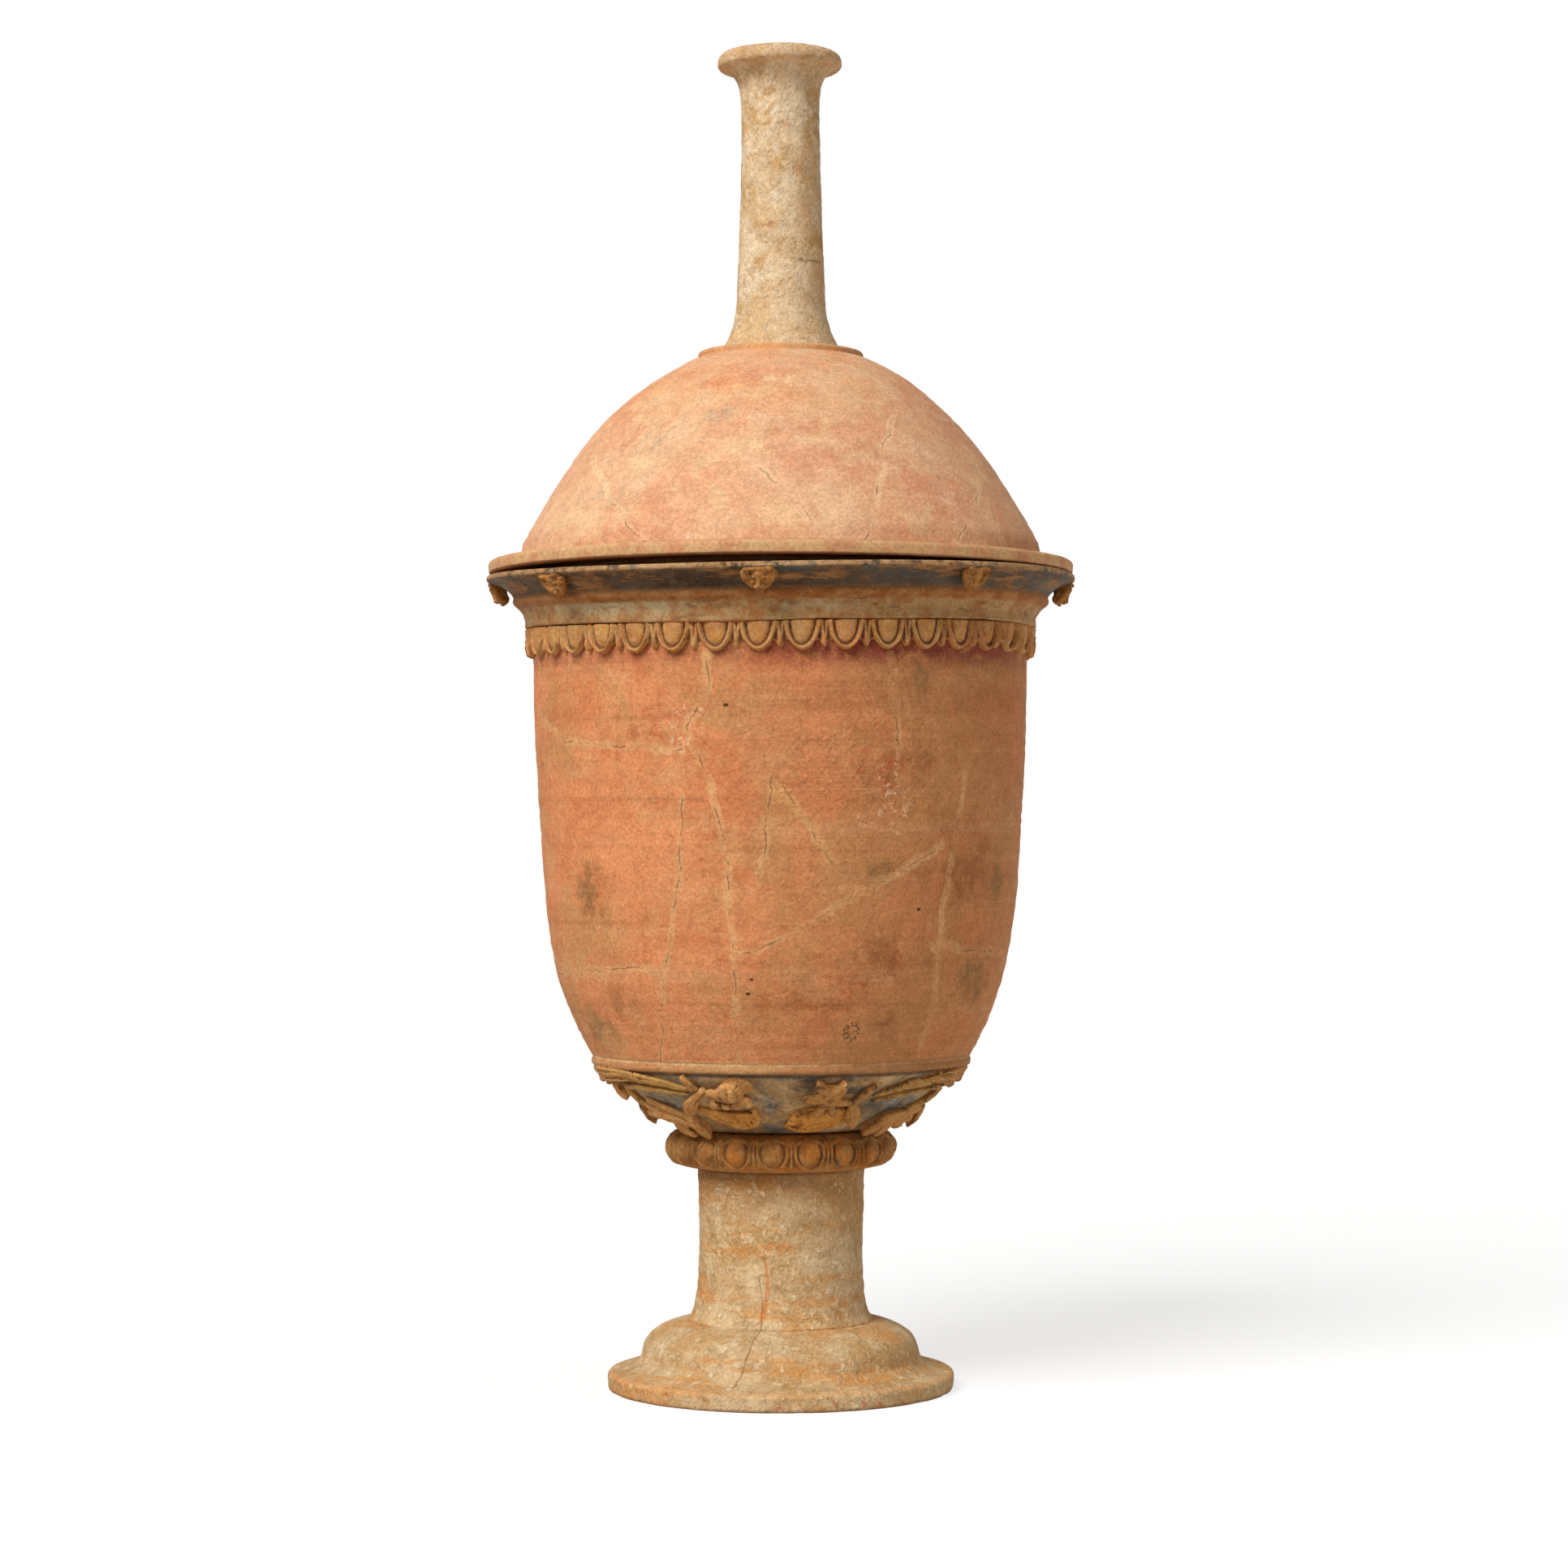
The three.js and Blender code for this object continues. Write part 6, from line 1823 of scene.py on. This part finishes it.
def make_reliefs(paints):
    for number, (quarter, (start, sign, design)) in enumerate(QUARTERS.items()):
        for name, (place, model, *tables) in design.items():
            clay = model(place, *tables) if tables else model()
            paint = paints[RELIEF_PAINTS.get(name, "tan")]
            seed = 5.0 + number * 11.7 + len(name)
            make_relief(f"{quarter}_{name}", clay, place, start, sign, paint, 0.34, seed)
    for number, (name, sign) in enumerate((("right_knob", 1), ("left_knob", -1))):
        make_relief(name, model_knob(), KNOB_PLACE, 0.0, sign, paints["tan"], 0.35, 60.0 + number)


# The potter's bench: everything above, made in order
bare_clay = paint_inside()
foot_paint = paint_foot()
make_foot(foot_paint, bare_clay)
make_stem(foot_paint, bare_clay)
make_bowl(paint_bowl(), bare_clay)
make_lid(paint_lid(), bare_clay)
make_finial(paint_finial(), bare_clay)
make_band(paint_band())
make_ring(paint_ring())
make_heads(paint_relief("lion_ochre", tone(172, 122, 70), tone(190, 134, 70), 0.7, 0.2))
make_reliefs({
    "tan": paint_relief("tan_relief", tone(196, 146, 88), tone(204, 150, 92), 0.6, 0.25),
    "orange": paint_relief("orange_relief", tone(216, 150, 70), tone(222, 164, 88), 0.45, 0.15),
    "yellow": paint_relief("yellow_relief", tone(202, 156, 86), tone(190, 146, 88), 0.5, 0.4),
})


# Studio: a pale floor that keeps the shadow, a white surround, a large soft lamp from the upper left
def seen_directly(tree):
    """1 for rays that see a surface straight, in a mirror or through glass, 0 for light's own rays."""
    path = add_node(tree, "LightPath").outputs
    straight = add_math(tree, "MAXIMUM", path["Is Camera Ray"], path["Is Glossy Ray"])
    return add_math(tree, "MAXIMUM", straight, path["Is Transmission Ray"])


def shown(tree, lighting, seen, end):
    """One shader for the light it gives to other things, another where it is seen."""
    blend = add_node(tree, "MixShader", [seen_directly(tree), lighting.outputs[0], seen.outputs[0]])
    tree.links.new(blend.outputs[0], tree.nodes[end].inputs["Surface"])


def make_floor():
    """Pale and matt for the light; seen directly it is white, and darker only where a shadow falls."""
    clay = bmesh.new()
    bmesh.ops.create_grid(clay, x_segments=1, y_segments=1, size=FLOOR_HALF_SIZE)
    floor = put("floor", mesh_of("floor", clay))
    material = bpy.data.materials.new("pale_floor")
    material.use_nodes = True
    tree = material.node_tree
    tree.nodes.remove(tree.nodes["Principled BSDF"])
    matte = add_node(tree, "BsdfDiffuse", {"Color": FLOOR_TINT})
    faint = add_node(tree, "BsdfDiffuse", {"Color": (SHADOW_SHARE, SHADOW_SHARE, SHADOW_SHARE, 1)})
    glow = add_node(tree, "Emission", {"Strength": FLOOR_GLOW})
    white = add_node(tree, "AddShader", [faint.outputs[0], glow.outputs[0]])
    shown(tree, matte, white, "Material Output")
    floor.data.materials.append(material)


def make_world():
    world = bpy.data.worlds.new("studio")
    world.use_nodes = True
    tree = world.node_tree
    light = tree.nodes["Background"]
    light.inputs["Color"].default_value = WORLD_TINT
    light.inputs["Strength"].default_value = WORLD_LIGHT
    white = add_node(tree, "Background", {"Color": (1, 1, 1, 1), "Strength": 1.0})
    shown(tree, light, white, "World Output")
    bpy.context.scene.world = world


def make_lamp(name, azimuth, height, softness, strength):
    """A distant soft lamp that shines from this azimuth and this many degrees above the floor."""
    lamp = bpy.data.lights.new(name, "SUN")
    lamp.angle = math.radians(softness)
    lamp.energy = strength
    put(name, lamp).rotation_euler = (math.radians(90 - height), 0, math.radians(azimuth))


def make_card():
    """A soft pale card low on the right, which throws light back on the foot, the stem and the cone."""
    lamp = bpy.data.lights.new("card", "AREA")
    lamp.size = CARD_SIZE
    lamp.energy = CARD_LIGHT
    card = put("card", lamp)
    card.location = CARD_PLACE
    card.rotation_euler = (math.radians(90), 0, math.radians(CARD_AZIMUTH))


def make_camera():
    camera = bpy.data.cameras.new("camera")
    camera.lens = CAMERA_LENS
    camera.sensor_width = SENSOR_WIDTH
    camera.clip_start = NEAREST_SEEN
    viewer = put("camera", camera)
    viewer.location = CAMERA_PLACE
    viewer.rotation_euler = (math.radians(CAMERA_TILT), 0, 0)
    bpy.context.scene.camera = viewer


make_floor()
make_world()
make_lamp("key", *KEY_LAMP)
make_lamp("right", *RIGHT_LAMP)
make_card()
make_camera()
bpy.context.scene.view_settings.view_transform = "Standard"
